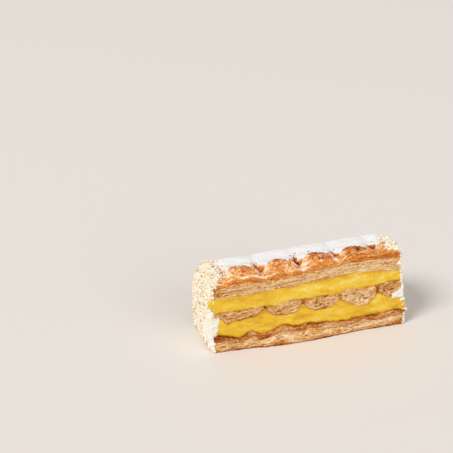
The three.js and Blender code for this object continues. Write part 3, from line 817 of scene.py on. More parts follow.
# Cavities in the front cut of the lobes: x, height, half length, half height.
LOBE_CAVITIES = (
    (2.0, 22.6, 0.7, 0.8), (9.5, 23.2, 0.8, 0.5), (5.0, 20.4, 0.6, 0.7), (10.5, 20.6, 1.3, 0.4),
    (2.6, 19.6, 1.0, 0.4), (25.8, 25.0, 2.0, 0.45), (30.5, 21.6, 1.7, 0.6), (35.8, 23.9, 0.9, 0.7),
    (33.2, 20.2, 1.2, 0.6), (27.2, 18.8, 0.9, 0.5), (45.5, 26.4, 1.6, 0.6), (48.5, 23.6, 1.8, 0.7),
    (44.2, 23.2, 0.8, 0.8), (-52.0, 22.4, 1.0, 0.5), (-48.6, 20.2, 1.6, 0.5), (-15.5, 22.8, 1.2, 0.35),
    (-12.0, 20.0, 1.2, 0.35), (-19.8, 20.3, 2.0, 0.4), (-23.0, 22.4, 1.2, 0.35), (-36.1, 20.8, 1.6, 0.4),
    (-43.8, 20.8, 1.8, 0.35), (-54.9, 23.6, 1.4, 0.5), (-50.7, 21.8, 1.2, 0.5), (-47.0, 22.8, 1.3, 0.35),
    (-40.5, 22.6, 1.5, 0.3),
)
# And in the laminated part of the top, near its two ends.
TOP_CAVITIES = (
    (-56.2, 35.6, 0.9, 0.5), (-54.6, 34.7, 1.3, 0.5), (-52.6, 36.2, 0.9, 0.35), (-51.0, 34.8, 1.4, 0.4),
    (-48.0, 36.6, 0.8, 0.3), (44.5, 40.6, 2.6, 0.22), (49.5, 39.6, 2.4, 0.25),
)


def cavities(x, y, z, places):
    """How far each place is inside one of the cavities of the front cut."""
    inside = 0.0
    for place, height, length, depth in places:
        ragged = 0.5 * noise(x / 0.8, z / 0.6, 208)
        off = np.hypot((x - place) / length, (z - height - 0.15 * (x - place)) / depth) + ragged
        inside = np.maximum(inside, 1 - ease(off, 0.6, 1.2))
    return inside * (y < 0)


def middle_pastry_place(u, v, w):
    x, y, z = stacked(u, v, w, LAYER_ROWS, middle_bottom, middle_top, left_inset=1.0, right_inset=0.3)
    thickness = middle_depth(x, y)
    relief, gap, tone, stack = leaf_edges(x, y, w, thickness, LOBE_LEAVES, 200)
    side = cut_side(y)
    index = dome_index(x)
    swollen = ease(thickness, PINCH_DEPTH + 1.5, 6)
    inside = swollen * (1 - np.abs(2 * w - 1) ** 4)
    cells = pits(x, w * thickness + side, 0.95, LOBE_PITS[index], 215)
    pit = clamp(cells * 0.7 + cavities(x, y, z, LOBE_CAVITIES)) * inside
    rim = np.abs(2 * w - 1) ** 8
    near = near_cut(y)
    pinch = swell(from_dent(x) - PINCH["beside"] + 0.5 * noise(w * 4, side, 219), PINCH["reach"])
    pinch = pinch * (1 - ease(np.abs(x), *PINCH["end"]))
    bake = 0.42 + LOBE_TONES[index] + 0.34 * rim * clamp(0.75 + noise(x / 3, side, 221))
    bake = bake + 0.5 * pinch + 0.1 * tone
    bake = bake + 0.12 * noise(x / 4, w * 4 + side, 220)
    bake = bake + 0.2 * swell(x - FIRST_LOBE_X, 6) * clamp(0.5 + 1.5 * noise(x / 2, w * 5 + side, 222))
    # Painted shade under the lobes: their undersides darken on the left of the slice.
    bake = bake + 0.12 * ease(-w, -0.16, 0) * ease(-x, 0, 12)
    relief = 0.8 * relief * lerp(0.5, 0.9, swollen) - 0.95 * pit - 0.5 * pinch**3 + 0.3
    y = y + np.sign(y) * relief * near
    z = z + ragged_edges(x, y, w, 230) * lerp(0.6, 1.2, swollen)
    # The gap mask, painted shade in the finish, takes in the pits, cavities and pinched waists.
    gap = clamp(0.6 * gap + 1.2 * pit + 0.7 * pinch**2) * near
    return (x, y, z), {"bake": bake, "gap": gap, "sugar_and_glints": 0 * x, "stack": stack}


# ---- The glazed top -------------------------------------------------------------------------

TOP_COLUMNS = 340
TOP_ROWS = np.concatenate(
    [
        np.linspace(-HALF_WIDTH, -3.0, 48),
        np.linspace(-1.8, 12.5, 14),
        np.linspace(13.2, HALF_WIDTH, 8),
    ]
)
LAMINATE = 6.6                     # pale laminated part under the glazed crust
LAMINATE_SWELL = {"height": 1.4, "x": -37.5, "reach": 10.0}
LAMINATE_RISE = {"height": 1.3, "start": 28.0, "end": 50.0}
# The pits beside the dents, from the leftmost: depth, half length, y of the middle, half width and
# place beside the dent.
PITS_AT_DENTS = np.array(
    [
        (1.7, 1.5, -6.6, 2.0, 1.2),
        (2.3, 3.3, -8.8, 3.4, -0.6),
        (2.0, 2.8, -9.2, 3.2, -0.4),
        (1.8, 2.3, -8.4, 2.6, 0.0),
        (1.5, 2.0, -7.2, 2.2, 0.9),
    ]
)
WHOLE_PIT = 1.5                    # at this depth a pit is bare of sugar and its painted shade is full
# The peeling foot of the glazed domes: its middle line, which wanders and rises around one place.
FOOT = {"y": -15.7, "wander": 0.8, "reach": 0.55, "rise": 2.2, "x": 9.0, "rise_reach": 10.0}
# Drifts of sugar in the hollows at the front: x of the middle, half length, and y.
DRIFTS = ((-31.5, 8.5, -15.7), (-5.2, 6.0, -15.2), (15.5, 1.7, -13.9))
# The right shoulder of each dome, where the powdered sugar stays back.
BARE_SHOULDER = {"depth": 2.6, "phase": 0.84, "reach": 0.15}
# Where a dome is baked darkest, and the pale place on its left.
CREST = {"phase": 0.55, "reach": 0.45, "foot": -15.2, "full": -11.6, "tone": 0.22}
PALE_SHOULDER = {"phase": 0.13, "reach": 0.13, "y": -10.5, "reach_y": 6.0, "tone": 0.26}
DOME_TONES = np.array([-0.1, -0.06, 0.12, 0.0, 0.0])    # how much darker each dome's crest is baked
DARK_BAKE = 0.76                   # beyond this the crests darken only a fifth as fast


def laminate(x):
    """The height of the laminated part above the custard."""
    swollen = LAMINATE_SWELL["height"] * swell(x - LAMINATE_SWELL["x"], LAMINATE_SWELL["reach"])
    return LAMINATE + swollen + slope(x, LAMINATE_RISE)


def foot_line(x):
    """The y of the domes' peeling foot."""
    raised = FOOT["rise"] * swell(x - FOOT["x"], FOOT["rise_reach"])
    return FOOT["y"] + raised + FOOT["wander"] * noise(x / 6, 0 * x, 345) + 0.35 * noise(x / 1.4, 0 * x, 346)


def powder_front(x):
    """Where the icing sugar ends on the crust: it leaves the right shoulder of each dome bare."""
    shoulder = swell(dent_phase(x) % 1 - BARE_SHOULDER["phase"], BARE_SHOULDER["reach"])
    return sugar_front(x) + BARE_SHOULDER["depth"] * shoulder


def crust_relief(x, y):
    """Wrinkles, pores and loose plates of the glazed skin: height, the plates' tone and rims, where
    the foot peels, and where the skin is draped over the front."""
    bend = 0.8 * noise(x / 5, y / 4, 300)
    tone, rim = plates(x / 2.1 + bend * 0.5, y / 1.35 + bend, 310)
    wrinkles = 1 - np.abs(noise(x / 2.0, y / 0.9 + bend, 320)) * 2
    pores = rough(x / 0.8, y / 0.7, 330, 2)
    draped = ease(foot_line(x) - y, 0, 1.2)
    height = 0.2 * tone * ease(rim, 0.0, 0.25) + 0.14 * wrinkles + 0.14 * pores
    height = height * (1 - 0.6 * draped)
    peel = np.exp(-(((y - foot_line(x)) / FOOT["reach"]) ** 2))
    broken = clamp(0.45 + 1.2 * noise(x / 3.2, 0 * x, 350))
    return height + 0.45 * peel * broken, tone, rim, peel * broken, draped


def pit_depth(x, y):
    """Depth of the pits beside the dents, which glazed_bake darkens with painted shade."""
    nearest = clamp(np.round(dent_phase(x)), 0, DENTS - 1).astype(int)
    depth, half, middle, across, beside = PITS_AT_DENTS[nearest].T
    away = np.hypot((from_dent(x) - beside) / half, (y - middle) / across)
    away = away + 0.14 * noise(x / 1.2, y / 1.2, 340)
    return depth * (1 - ease(away, 0.55, 1.15))


def hole_share(x, y):
    """How far a place of the top is inside a pit, from 0 to 1."""
    return clamp(pit_depth(x, y) / WHOLE_PIT)


def crust_top(x, y):
    """The glazed surface with its fine relief and the dark pits beside the dents."""
    return crown(x, y) + crust_relief(x, y)[0] - pit_depth(x, y)


def glazed_bake(x, y):
    """How dark the glazed top is: deep on the domes' crests, pale on their left and at their feet, with
    painted shade in the pits beside the dents and a painted shadow in front of the sugar's edge.
    """
    _, tone, rim, peel, draped = crust_relief(x, y)
    phase = dent_phase(x) % 1
    index = dome_index(x)
    crest = swell(phase - CREST["phase"], CREST["reach"]) * ease(y, CREST["foot"], CREST["full"])
    bake = 0.44 + 0.1 * ease(x, 10, 20) + (CREST["tone"] + DOME_TONES[index]) * crest
    pale = PALE_SHOULDER["tone"] * swell(phase - PALE_SHOULDER["phase"], PALE_SHOULDER["reach"])
    bake = bake - pale * swell(y - PALE_SHOULDER["y"], PALE_SHOULDER["reach_y"])
    # Painted shadow: a dark line along the domes' crests just in front of the sugar's edge.
    sugar_edge_shadow = np.exp(-(((y - powder_front(x) + 0.6) / 0.8) ** 2)) * swell(phase - 0.5, 0.42)
    bake = bake + 0.16 * sugar_edge_shadow
    bake = bake - 0.8 * np.maximum(bake - DARK_BAKE, 0)
    # Painted shade: the pits beside the dents darken with their depth.
    bake = bake + 0.4 * hole_share(x, y) + 0.3 * bare_spots(x, y)
    bake = bake + 0.15 * tone - 0.16 * (1 - ease(rim, 0, 0.2))
    bake = bake + 0.24 * rough(x / 0.8, y / 0.6, 415, 2)
    streaks = clamp(2 * noise(x / 9, y / 0.55, 417) - 0.8)
    band = 0.48 + 0.08 * noise(x / 5, y / 0.7, 416)
    band = band + 0.05 * ease(x, 5, 20) - 0.06 * ease(x, 18, 30) - 0.14 * ease(x, 34, 50)
    bake = lerp(bake, band + 0.22 * streaks, draped)
    return bake - 0.46 * peel + 0.1 * ease(y, 12, 17)


# Small bare spots in the sugar, most of them beside the pits: x, y and reach.
BARE_SPOTS = (
    (-30.6, -1.6, 0.8), (-28.4, -3.0, 0.7), (-6.4, -5.0, 1.5), (-5.6, -2.4, 1.1), (-7.9, -1.6, 0.7),
    (-4.2, 0.2, 0.7), (14.9, -5.0, 0.8), (17.6, -3.6, 0.7), (-50.0, -3.0, 1.0), (-48.2, -0.6, 0.7),
    (38.0, -4.6, 0.9), (-12.5, 9.0, 0.7), (24.0, 3.0, 0.6),
)


def bare_spots(x, y):
    """How far each place of the top is inside one of the bare spots."""
    inside = 0 * x
    for place, off, reach in BARE_SPOTS:
        distance = np.hypot(x - place, y - off) + 0.35 * noise(x / 0.7, y / 0.7, 506)
        inside = np.maximum(inside, 1 - ease(distance, reach * 0.5, reach * 1.2))
    return inside


def stray_sugar(x, y):
    """Icing sugar on the crust beside the stripe and in the hollows at the front edge, and a speckled film
    over the domes that is partly icing sugar and partly painted highlights.
    """
    away = np.maximum(powder_front(x) - y, y - sugar_back(x))
    fading = 0.55 - 0.75 * clamp(away, 0, 6) + 0.35 * noise(x / 1.6, y / 1.1, 430)
    phase = dent_phase(x) % 1
    # The film over the domes: partly real icing sugar, partly painted highlights as white specks.
    sugar_film_and_glints = 0.17 - 0.1 * ease(x, 14, 28) + 0.22 * swell(phase - 0.88, 0.16) * swell(y + 11, 5)
    sugar_film_and_glints = sugar_film_and_glints + 0.3 * noise(x / 1.0, y / 0.8, 435)
    sugar_film_and_glints = sugar_film_and_glints * (1 - ease(foot_line(x) - y, 0, 1))
    valley = -1.0
    for middle, half, off in DRIFTS:
        drift = swell(x - middle, half) ** 0.5 * swell(y - off + 0.1 * (x - middle), 2.3)
        valley = np.maximum(valley, 1.1 * drift + 0.35 * noise(x / 1.4, y / 0.9, 440) - 0.25)
    shown = (1 - clamp(hole_share(x, y) * 4)) * (1 - 0.7 * bare_spots(x, y))
    return clamp(np.maximum(np.maximum(fading, sugar_film_and_glints), valley)) * shown


def top_pastry_place(u, v, w):
    x, y, z = stacked(u, v, w, TOP_ROWS, roof, crown)
    side = cut_side(y)
    share = ease(w, 0.6, 1.0)
    z = z + share * (crust_top(x, y) - crown(x, y))
    thickness = crown(x, y) - roof(x, y)
    relief, gap, tone, stack = leaf_edges(x, y, w, thickness, TOP_LEAVES, 400)
    above = z - roof(x, y) - laminate(x)
    above = above - 0.5 * noise(x / 7, side, 405) - 0.25 * noise(x / 1.5, side, 406)
    crust = ease(above, -0.3, 0.4)
    near = near_cut(y)
    cut = near * (1 - ease(w, 0.985, 1.0))
    cells = pits(x, w * thickness + side, 1.1, 0.05, 407)
    pit = clamp(0.7 * cells + cavities(x, y, z, TOP_CAVITIES)) * (1 - crust)
    line = np.exp(-((above + 0.1) / 0.35) ** 2) * clamp(0.5 + noise(x / 3, side, 408))
    streaks = clamp(2 * noise(x / 9, w * 14 + side, 411) - 0.7)
    cut_bake = 0.31 + 0.17 * crust + 0.22 * line + 0.14 * tone + 0.1 * noise(x / 8, w * 5 + side, 410)
    cut_bake = cut_bake + 0.2 * streaks * crust - 0.06 * ease(x, 10, 40) * (1 - crust)
    cut_bake = cut_bake + 0.22 * ease(-x, 47, 57) * (1 - crust) + 0.14 * ease(-w, -0.1, 0.0)
    bake = lerp(glazed_bake(x, y), cut_bake, cut)
    out = relief * lerp(0.75, 0.6, crust) - 0.8 * pit + 0.25 * crust
    masks = {
        "bake": bake,
        # painted shade in the gaps, pits and cavities of the cut
        "gap": clamp(0.6 * gap + pit) * cut,
        "sugar_and_glints": stray_sugar(x, y) * (1 - cut),
        "glaze": lerp(1.0, crust, cut),
        "stack": stack,
    }
    z = z + 0.7 * ragged_edges(x, y, w, 450) * (w < 0.5)
    return (x, y + np.sign(y) * out * near, z), masks


# ---- Custard --------------------------------------------------------------------------------

SINK = 0.45                        # custard reaches this far into its neighbours
SMEAR_OVER_COAT = 2.7              # how far the upper custard is smeared over the left coat's cut edge
END_SPREAD = 0.9                   # how far the lower custard shows beside the right coat


def custard_place(floor, roof_of, left_inset, right_inset, seed, smeared=False):
    """A layer of custard; the smeared one is the upper one, drawn over the left coat by the knife."""
    def place(u, v, w):
        x, y, z = stacked(u, v, w, LAYER_ROWS, floor, roof_of, left_inset, right_inset)
        side = cut_side(y, 30)
        near = near_cut(y)
        if smeared:
            profile = ease(w, 0.05, 0.8) * (1 - 0.7 * ease(w, 0.9, 1.0))
            reach = SMEAR_OVER_COAT * profile * (1 + 0.25 * noise(z / 1.0, side, seed + 3))
            at_cut = ease(np.abs(y), HALF_WIDTH - 1, HALF_WIDTH) * (y < 0)
            x = x - reach * ease(-u, -0.05, 0) * at_cut
        bulge = 0.4 * (1 - (2 * w - 1) ** 4) - 0.25
        smear = 0.35 * rough((x + z) / 6, z / 3 + side, seed, 2)
        smear = smear + 0.12 * rough(x / 1.6, z / 1.1 + side, seed + 5, 2)
        y = y + np.sign(y) * (bulge + smear) * near
        y = y + np.sign(y) * 0.35 * near * (1 - ease(u, 0.0, 0.03)) * smeared
        x = x + END_SPREAD * ease(u, 0.97, 1.0) * ease(-y, HALF_WIDTH - 2, HALF_WIDTH) * (not smeared)
        # Painted shade: the custard is darker towards its top, under the pastry above it.
        tone = 0.52 + 0.4 * rough((x + z) / 7, z / 3 + side, seed + 9, 3) - 0.3 * ease(w, 0.75, 1.0)
        tone = tone - (0.1 * ease(x, -30, 0) + 0.1 * ease(-x, 25, 50)) * (not smeared)
        tone = tone - 0.14 * swell(x - 24, 20) * smeared
        return (x, y, z), {"tone": tone}

    return place


def lower_custard_top(x, y):
    """It dips under the wedge of cream at the right."""
    under = middle_bottom(x, y) + SINK
    dip = ease(x, CREAM_WEDGE_X - CREAM_WEDGE_RUN, CREAM_WEDGE_X)
    return lerp(under, np.minimum(under, CREAM_FLOOR), dip)


# ---- Loose leaf edges -----------------------------------------------------------------------

CUT_LENGTH = 116.0                 # of a knife cut, about
SHORTEST_LEAF = 1.2
LEAF_SPREAD = 2.6                  # how much longer than that they are on average


def loose_leaves(name, place, count, lowest, highest, material, seed):
    """Thin edges of single leaves that stand out of a layer's two cuts, each curling a little."""
    random = np.random.default_rng(seed)
    strip = cut_block(6, 1, 1)
    s, out, up = np.tile(corners_of(strip), (count, 1, 1)).transpose(2, 0, 1)

    def each(low, high):
        return random.uniform(low, high, (count, 1))

    def flat(value):
        return np.broadcast_to(value, s.shape).ravel()

    side = np.where(random.random((count, 1)) < 0.5, 0.0, 1.0)
    length = SHORTEST_LEAF + random.exponential(LEAF_SPREAD, (count, 1))
    u = clamp(each(0.01, 0.97) + s * length / CUT_LENGTH, 0.004, 0.996)
    w = each(lowest, highest) + each(-0.05, 0.05) * (s - 0.5) + each(-0.03, 0.03) * s * s
    w = clamp(w, 0.03, 0.97)
    (x, y, z), masks = place(flat(u), flat(side), flat(w))
    taper = np.sin(np.pi * clamp(s, 0.06, 0.94)) ** 0.5
    reach = each(0.12, 0.5) * taper
    thick = each(0.1, 0.24) * (0.4 + 0.6 * taper)
    curl = each(-0.5, 0.35) * out * reach
    y = y + np.sign(y) * flat(lerp(-0.5, reach, out))
    z = z + flat((up - 0.5) * thick + curl)
    bake = masks["bake"] + flat(each(-0.3, 0.22) - 0.1 * out)
    keep = {"bake": bake, "gap": 0 * x, "sugar_and_glints": 0 * x, "stack": masks["stack"]}
    if "glaze" in masks:
        keep["glaze"] = masks["glaze"]
    places = np.stack([x, y, z], -1).reshape(count, -1, 3)
    joined(name, strip, places, keep, material)


# ---- Icing sugar ----------------------------------------------------------------------------

SUGAR_ENDS = (-51.5, 51.0)
SUGAR_MARGIN = 1.6                 # the sheet of sugar reaches this far past its visible edge
SUGAR_DEPTH = 0.62


def sugar_place(u, v, w):
    """The stripe of sugar as a sheet: its powdery edges and bare places lie just under the crust."""
    x = lerp(SUGAR_ENDS[0], SUGAR_ENDS[1], u)
    y = lerp(sugar_front(x) - SUGAR_MARGIN, sugar_back(x) + SUGAR_MARGIN, v)
    edge = np.minimum(y - powder_front(x), sugar_back(x) - y)
    corner = np.minimum(x - SUGAR_ENDS[0], SUGAR_ENDS[1] - x) - 0.12 * np.abs(y - 5) ** 1.3
    edge = np.minimum(edge, corner) + 0.9 * rough(x / 2.6, y / 2.2, 500, 3)
    bare = clamp(rough(x / 1.5, y / 1.1, 505, 2) * 3.4 - 1.5)
    bare = bare * swell(from_dent(x), 5) * ease(-y, 1.5, 4)
    bare = np.maximum(bare, bare_spots(x, y))
    hole = hole_share(x, y)
    bare = clamp(bare + hole * 3)
    depth = SUGAR_DEPTH * ease(edge, -0.6, 1.8) - 0.2 - 0.75 * bare - 1.2 * hole
    drift = 0.24 * rough(x / 5, y / 3.5, 510, 2) + 0.24 * rough(x / 1.1, y / 0.9, 520, 3)
    under = crown(x, y) - pit_depth(x, y)
    top = under + depth + drift * (1 - 0.7 * bare)
    z = np.where(w > 0.5, top, np.minimum(top, under) - 0.6)
    thin = 0.6 - 0.5 * ease(edge, -0.2, 1.2) + 0.55 * bare + 0.14 * rough(x / 2, y / 1.6, 530, 2)
    return (x, y, z), {"thin": thin}


# ---- Crumb coats ----------------------------------------------------------------------------

# The left end is -1 and the right end 1.
COAT_DEPTHS = {-1: 1.25, 1: 0.75}
LIPS = {-1: LEFT_LIP, 1: RIGHT_LIP}
# How far each lip shifts to the left at the front: the most, and the distances in front of the middle
# between which that grows.
LIP_SHIFT = {-1: (5.6, 10.5, 16.5), 1: (4.5, 6.0, 13.0)}
CREAM_PATCH = {"y": -17.5, "z": 12.0, "reach_y": 23.0, "reach_z": 15.0}


def corner_height(face, y):
    """The height where an end face meets the top."""
    z = np.full(y.shape, CROWN_LEVEL)
    for _ in range(3):
        z = crown(face(z, y), y)
    return z


def lip(end, y):
    """How far a coat reaches over the top: less at the left front corner, more at the right one."""
    most, begin, whole = LIP_SHIFT[end]
    return LIPS[end] - most * ease(-y, begin, whole) + 1.2 * noise(y / 2.2, 0 * y, 610 + end)


def coat_point(end, t, y, distance):
    """A point of a coat: t runs from the foot, up the end face, round the shoulder to the lip."""
    face = left_face if end < 0 else right_face
    out = distance + SHOULDER_CLEARANCE * swell(t - FACE_SHARE, 2 / COAT_STEPS)
    corner_z = corner_height(face, y)
    up = t / FACE_SHARE
    z = lerp(COAT_FOOT, corner_z - COAT_FOOT, np.minimum(up, 1))
    turn = SHOULDER_TURN * ease(up, SHOULDER_START, 1)
    along = clamp((t - FACE_SHARE) / (1 - FACE_SHARE))
    corner = face(corner_z, y)
    over_x = lerp(corner + end * out * CORNER_REACH, lip(end, y), along)
    over_z = crown(lerp(corner, lip(end, y), along), y) + out + lerp(0.2, 0.0, along)
    x = np.where(up < 1, face(z, y) + end * out * np.cos(turn), over_x)
    return x, np.where(up < 1, z + out * np.sin(turn), over_z)


def patch_share(end, y, z):
    """Where the left end's foot shows smooth cream instead of crumbs."""
    if end > 0:
        return 0 * y
    ragged = 0.3 * noise(y / 5, z / 5, 605) + 0.25 * noise(y / 1.6, z / 1.6, 606)
    inside = swell(y - CREAM_PATCH["y"], CREAM_PATCH["reach_y"])
    inside = inside * swell(z - CREAM_PATCH["z"], CREAM_PATCH["reach_z"])
    return ease(inside + ragged, 0.15, 0.75)


def coat_place(end, seed):
    """The coat of one end: u runs through it, v across the slice and w from the foot to the lip."""
    def place(u, v, w):
        y = lerp(-HALF_WIDTH - 0.1, HALF_WIDTH + 0.1, v)
        fade = lerp(1.0, 0.15, ease(w, FACE_SHARE + 0.05, 1.0))
        lumps = 0.35 * rough(w * 34, y / 1.8, seed, 3) + 0.22 * rough(w * 80, y / 0.7, seed + 5, 2)
        _, z_rough = coat_point(end, w, y, 0 * y)
        smooth = patch_share(end, y, z_rough)
        thick = (COAT_DEPTHS[end] + lerp(lumps - 0.15, 0.25 * lumps + 0.35, smooth)) * fade
        depth = 1 - u if end < 0 else u
        x, z = coat_point(end, w, y, lerp(-0.5, thick, depth))
        at_cut = np.abs(v - 0.5) > 0.499
        y = y + np.sign(y) * 0.4 * rough(w * 45, x / 0.9, seed + 8, 2) * at_cut
        return (x, y, z), {"smooth": smooth}

    return place


def crumb_template():
    bm = bmesh.new()
    bmesh.ops.create_icosphere(bm, subdivisions=1, radius=1.0)
    mesh = bpy.data.meshes.new("crumb")
    bm.to_mesh(mesh)
    bm.free()
    return mesh


def turns(random, count):
    """Random rotations, one matrix each."""
    q = random.normal(size=(count, 4))
    q /= np.linalg.norm(q, axis=1)[:, None]
    a, b, c, d = q.T
    return np.stack(
        [
            np.stack([1 - 2 * (c * c + d * d), 2 * (b * c - a * d), 2 * (b * d + a * c)], -1),
            np.stack([2 * (b * c + a * d), 1 - 2 * (b * b + d * d), 2 * (c * d - a * b)], -1),
            np.stack([2 * (b * d - a * c), 2 * (c * d + a * b), 1 - 2 * (b * b + c * c)], -1),
        ],
        1,
    )


ON_FACES = 0.8                     # share of the crumbs that lie on the end faces, not the shoulders
AT_CUTS = {-1: 0.13, 1: 0.07}      # share of each end's crumbs that show in its cuts
MOST_RAISED = {-1: 0.55, 1: 0.3}   # how far the loosest crumbs stand out of each coat


def stray_places(random, count):
    """Crumbs that lie on the top, thinning out away from the coats' lips."""
    end = np.where(random.random(count) < 0.45, -1, 1)
    y = random.uniform(-HALF_WIDTH, HALF_WIDTH - 2, count)
    inward = random.exponential(2.2, count)
    x = np.where(end < 0, lip(-1, y) + inward, lip(1, y) - inward)
    return np.stack([x, y, crown(x, y) + 0.35], -1)


def crumbs(name, per_end, radii, sunk, material, seed, strays=0, foot=0):
    """Crumbs of one kind over both ends, in random sizes and turns, with strays on the top and a few
    at the left end's foot."""
    random = np.random.default_rng(seed)
    shape = crumb_template()
    ball = corners_of(shape)
    centres = []
    for end in (-1, 1):
        on_face = random.random(per_end) < ON_FACES
        t = np.where(on_face, random.random(per_end), 1.0) * FACE_SHARE
        t = np.where(on_face, t, lerp(FACE_SHARE, 1.0, random.random(per_end)))
        y = random.uniform(-HALF_WIDTH, HALF_WIDTH, per_end)
        at_cut = random.random(per_end) < AT_CUTS[end]
        beside = np.sign(y) * (HALF_WIDTH + random.uniform(-0.5, 0.25, per_end))
        y = np.where(at_cut, beside, y)
        inward = np.where(at_cut, random.uniform(0, 1.5, per_end), 0)
        _, z = coat_point(end, t, y, 0 * y)
        keep = random.random(per_end) > patch_share(end, y, z) * 0.9
        t, y, inward = t[keep], y[keep], inward[keep]
        thin = ease(t, 0.85, 1.0)
        raised = MOST_RAISED[end] * random.random(len(t)) ** 3
        x, z = coat_point(end, t, y, COAT_DEPTHS[end] - sunk + raised - inward - 0.9 * thin)
        centres.append(np.stack([x, y, z], -1))
    centres.append(stray_places(random, strays))
    foot_y = random.uniform(-HALF_WIDTH, 4, foot)
    foot_z = random.exponential(2.5, foot)
    foot_x = left_face(foot_z, foot_y) - random.uniform(0.9, 1.9, foot)
    centres.append(np.stack([foot_x, foot_y, foot_z], -1))
    centres = np.concatenate(centres)
    count = len(centres)
    radius = lerp(radii[0], radii[1], random.random(count) ** 1.8)
    radius[count - strays - foot:count - foot] *= 0.65
    centres[:, 2] = np.maximum(centres[:, 2], radius * 1.15)
    stretch = random.uniform(0.6, 1.2, (count, 1, 3))
    knobs = random.uniform(0.72, 1.15, (count, len(ball), 1))
    grains = ball[None] * knobs * stretch * radius[:, None, None]
    grains = np.einsum("nij,nkj->nki", turns(random, count), grains) + centres[:, None]
    grains[..., 2] = np.maximum(grains[..., 2], 0.02)
    joined(name, shape, grains, {"tone": random.random(count)}, material)


# ---- Cream ----------------------------------------------------------------------------------

CREAM_ROWS = np.concatenate([LAYER_ROWS[:4], [0.0], LAYER_ROWS[-4:]])


def left_cream_place(u, v, w):
    y = row_of(CREAM_ROWS, v)
    inner = LEFT_FACE + CREAM_THICKNESS
    z = lerp(base_top(inner, y) - 0.3, middle_bottom(inner + 0 * y, y) + 0.6, w)
    reach = lerp(0.9, 3.3, clamp(w) ** 0.7) + 0.6 * noise(z / 1.6, side_of(y), 700)
    x = left_face(z, y) - 0.8 + u * (reach + 1.3)
    swollen = (0.45 + 0.5 * rough(z / 1.3, x / 1.3, 710)) * near_cut(y)
    swollen = swollen * np.sin(np.pi * clamp(w, 0.02, 0.98)) ** 0.5
    return (x, y + np.sign(y) * swollen, z), {}


def right_cream_place(u, v, w):
    y = row_of(LAYER_ROWS, v)
    bottom = CREAM_FLOOR - 0.4
    outer = right_face(bottom + 2 * w, y) - 0.2 + 0.8 * ease(-y, HALF_WIDTH - 2, HALF_WIDTH)
    x = lerp(CREAM_WEDGE_X - 0.3, outer, u)
    top = np.maximum(middle_bottom(x, y) + 0.5, bottom + 0.3)
    z = lerp(bottom, top, w)
    swollen = (0.5 + 0.35 * noise(x / 1.8, z / 1.5, 720)) * near_cut(y)
    return (x, y + np.sign(y) * swollen, z), {}


# ---- The slice ------------------------------------------------------------------------------

LAYER_STRIPS = len(LAYER_ROWS) - 1
TOP_STRIPS = len(TOP_ROWS) - 1
CREAM_STRIPS = len(CREAM_ROWS) - 1

block("bottom_pastry_leaves", COLUMNS, LAYER_STRIPS, 56, bottom_pastry_place, base_finish,
      ["bottom_pastry"])
block("middle_pastry_leaves", COLUMNS, LAYER_STRIPS, 48, middle_pastry_place, middle_finish,
      ["middle_pastry"])
block("glazed_top_pastry", TOP_COLUMNS, TOP_STRIPS, 60, top_pastry_place, crust_finish,
      ["top_pastry"])
loose_leaves("bottom_leaf_edges", bottom_pastry_place, 420, 0.06, 0.94, base_finish, 31)
loose_leaves("middle_leaf_edges", middle_pastry_place, 300, 0.08, 0.92, middle_finish, 32)
loose_leaves("top_leaf_edges", top_pastry_place, 420, 0.04, 0.9, crust_finish, 33)
lower_custard_place = custard_place(
    lambda x, y: base_top(x, y) - SINK, lower_custard_top, CREAM_INSET + CREAM_THICKNESS, 0.1, 800
)
block("lower_custard", COLUMNS, LAYER_STRIPS, 24, lower_custard_place, custard_material,
      ["custard_lower"])
upper_custard_place = custard_place(
    lambda x, y: middle_top(x, y) - SINK, lambda x, y: roof(x, y) + SINK, -0.3, 0.2, 840, smeared=True
)
block("upper_custard", COLUMNS, LAYER_STRIPS, 24, upper_custard_place, custard_material,
      ["custard_upper"])
block("icing_sugar_stripe", 320, 76, 1, sugar_place, sugar_material, ["sugar_stripe"])
block("left_cream", 20, CREAM_STRIPS, 48, left_cream_place, cream_material, ["cream_left"])
block("right_cream", 16, LAYER_STRIPS, 8, right_cream_place, cream_material, ["cream_right"])
block("left_coat", 4, 90, 150, coat_place(-1, 600), coat_material, ["crumb_coat_left"])
block("right_coat", 4, 90, 150, coat_place(1, 640), coat_material, ["crumb_coat_right"])
crumbs("pale_crumbs", 2600, (0.3, 1.1), 0.2, pale_crumb, 11, strays=260)
crumbs("golden_crumbs", 210, (0.25, 0.75), 0.05, golden_crumb, 12, strays=60, foot=26)
crumbs("brown_crumbs", 30, (0.3, 0.75), 0.0, brown_crumb, 13, strays=12, foot=12)

# ---- Stage, light and camera ----------------------------------------------------------------

FLOOR_SIZE = 4.0
FLOOR_COLOUR = tint(240, 234, 228)
LIGHT_DISTANCE = 20.0
ROOM_COLOUR = (1.0, 0.99, 0.975, 1)
ROOM_BRIGHTNESS = 0.42
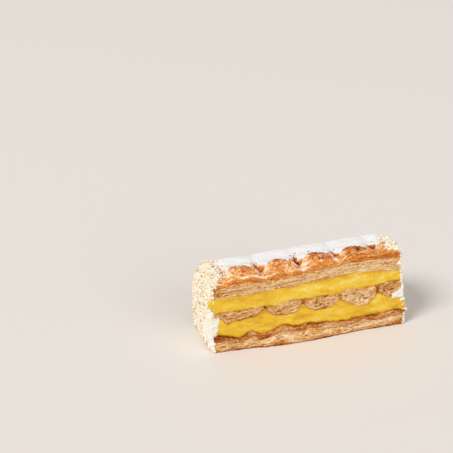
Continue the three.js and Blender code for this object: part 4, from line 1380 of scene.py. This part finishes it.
# In metres and degrees: in front of the slice and to its left, looking down on it.
CAMERA = {"lens": 105.33, "place": (-0.2507, -0.6381, 0.3653), "down": 23.88, "turn": -17.85}


def pale_floor():
    bm = bmesh.new()
    bmesh.ops.create_grid(bm, x_segments=1, y_segments=1, size=FLOOR_SIZE)
    mesh = bpy.data.meshes.new("pale_floor")
    bm.to_mesh(mesh)
    bm.free()
    finish = Finish("pale_floor", Base_Color=FLOOR_COLOUR, Roughness=0.7, Specular_IOR_Level=0.2)
    mesh.materials.append(finish.material)
    shown = bpy.data.objects.new("pale_floor", mesh)
    bpy.context.scene.collection.objects.link(shown)


def soft_light(name, towards, size, brightness, colour):
    """A round soft box, seen from the slice in that direction; brightness is what it adds to a white
    card."""
    place = Vector(towards).normalized() * LIGHT_DISTANCE
    data = bpy.data.lights.new(name, "AREA")
    data.shape = "DISK"
    data.size = size
    data.energy = brightness * (math.pi * LIGHT_DISTANCE) ** 2
    data.color = colour
    lamp = bpy.data.objects.new(name, data)
    lamp.location = place
    lamp.rotation_euler = (-place).to_track_quat("-Z", "Y").to_euler()
    bpy.context.scene.collection.objects.link(lamp)


def light_room():
    world = bpy.data.worlds.new("soft_room")
    world.use_nodes = True
    sky = world.node_tree.nodes["Background"]
    sky.inputs["Color"].default_value = ROOM_COLOUR
    sky.inputs["Strength"].default_value = ROOM_BRIGHTNESS
    bpy.context.scene.world = world
    soft_light("key", (-1.1, -0.6, 1.3), 8.0, 0.62, (1.0, 0.985, 0.96))
    soft_light("front_fill", (0.35, -1.0, 0.5), 14.0, 0.22, (1.0, 1.0, 1.0))


def place_camera():
    data = bpy.data.cameras.new("camera")
    data.sensor_width = 36.0
    data.lens = CAMERA["lens"]
    camera = bpy.data.objects.new("camera", data)
    camera.location = CAMERA["place"]
    camera.rotation_euler = (math.radians(90 - CAMERA["down"]), 0, math.radians(CAMERA["turn"]))
    bpy.context.scene.collection.objects.link(camera)
    bpy.context.scene.camera = camera


pale_floor()
light_room()
place_camera()
bpy.context.scene.view_settings.view_transform = "Standard"

bpy.context.view_layer.update()
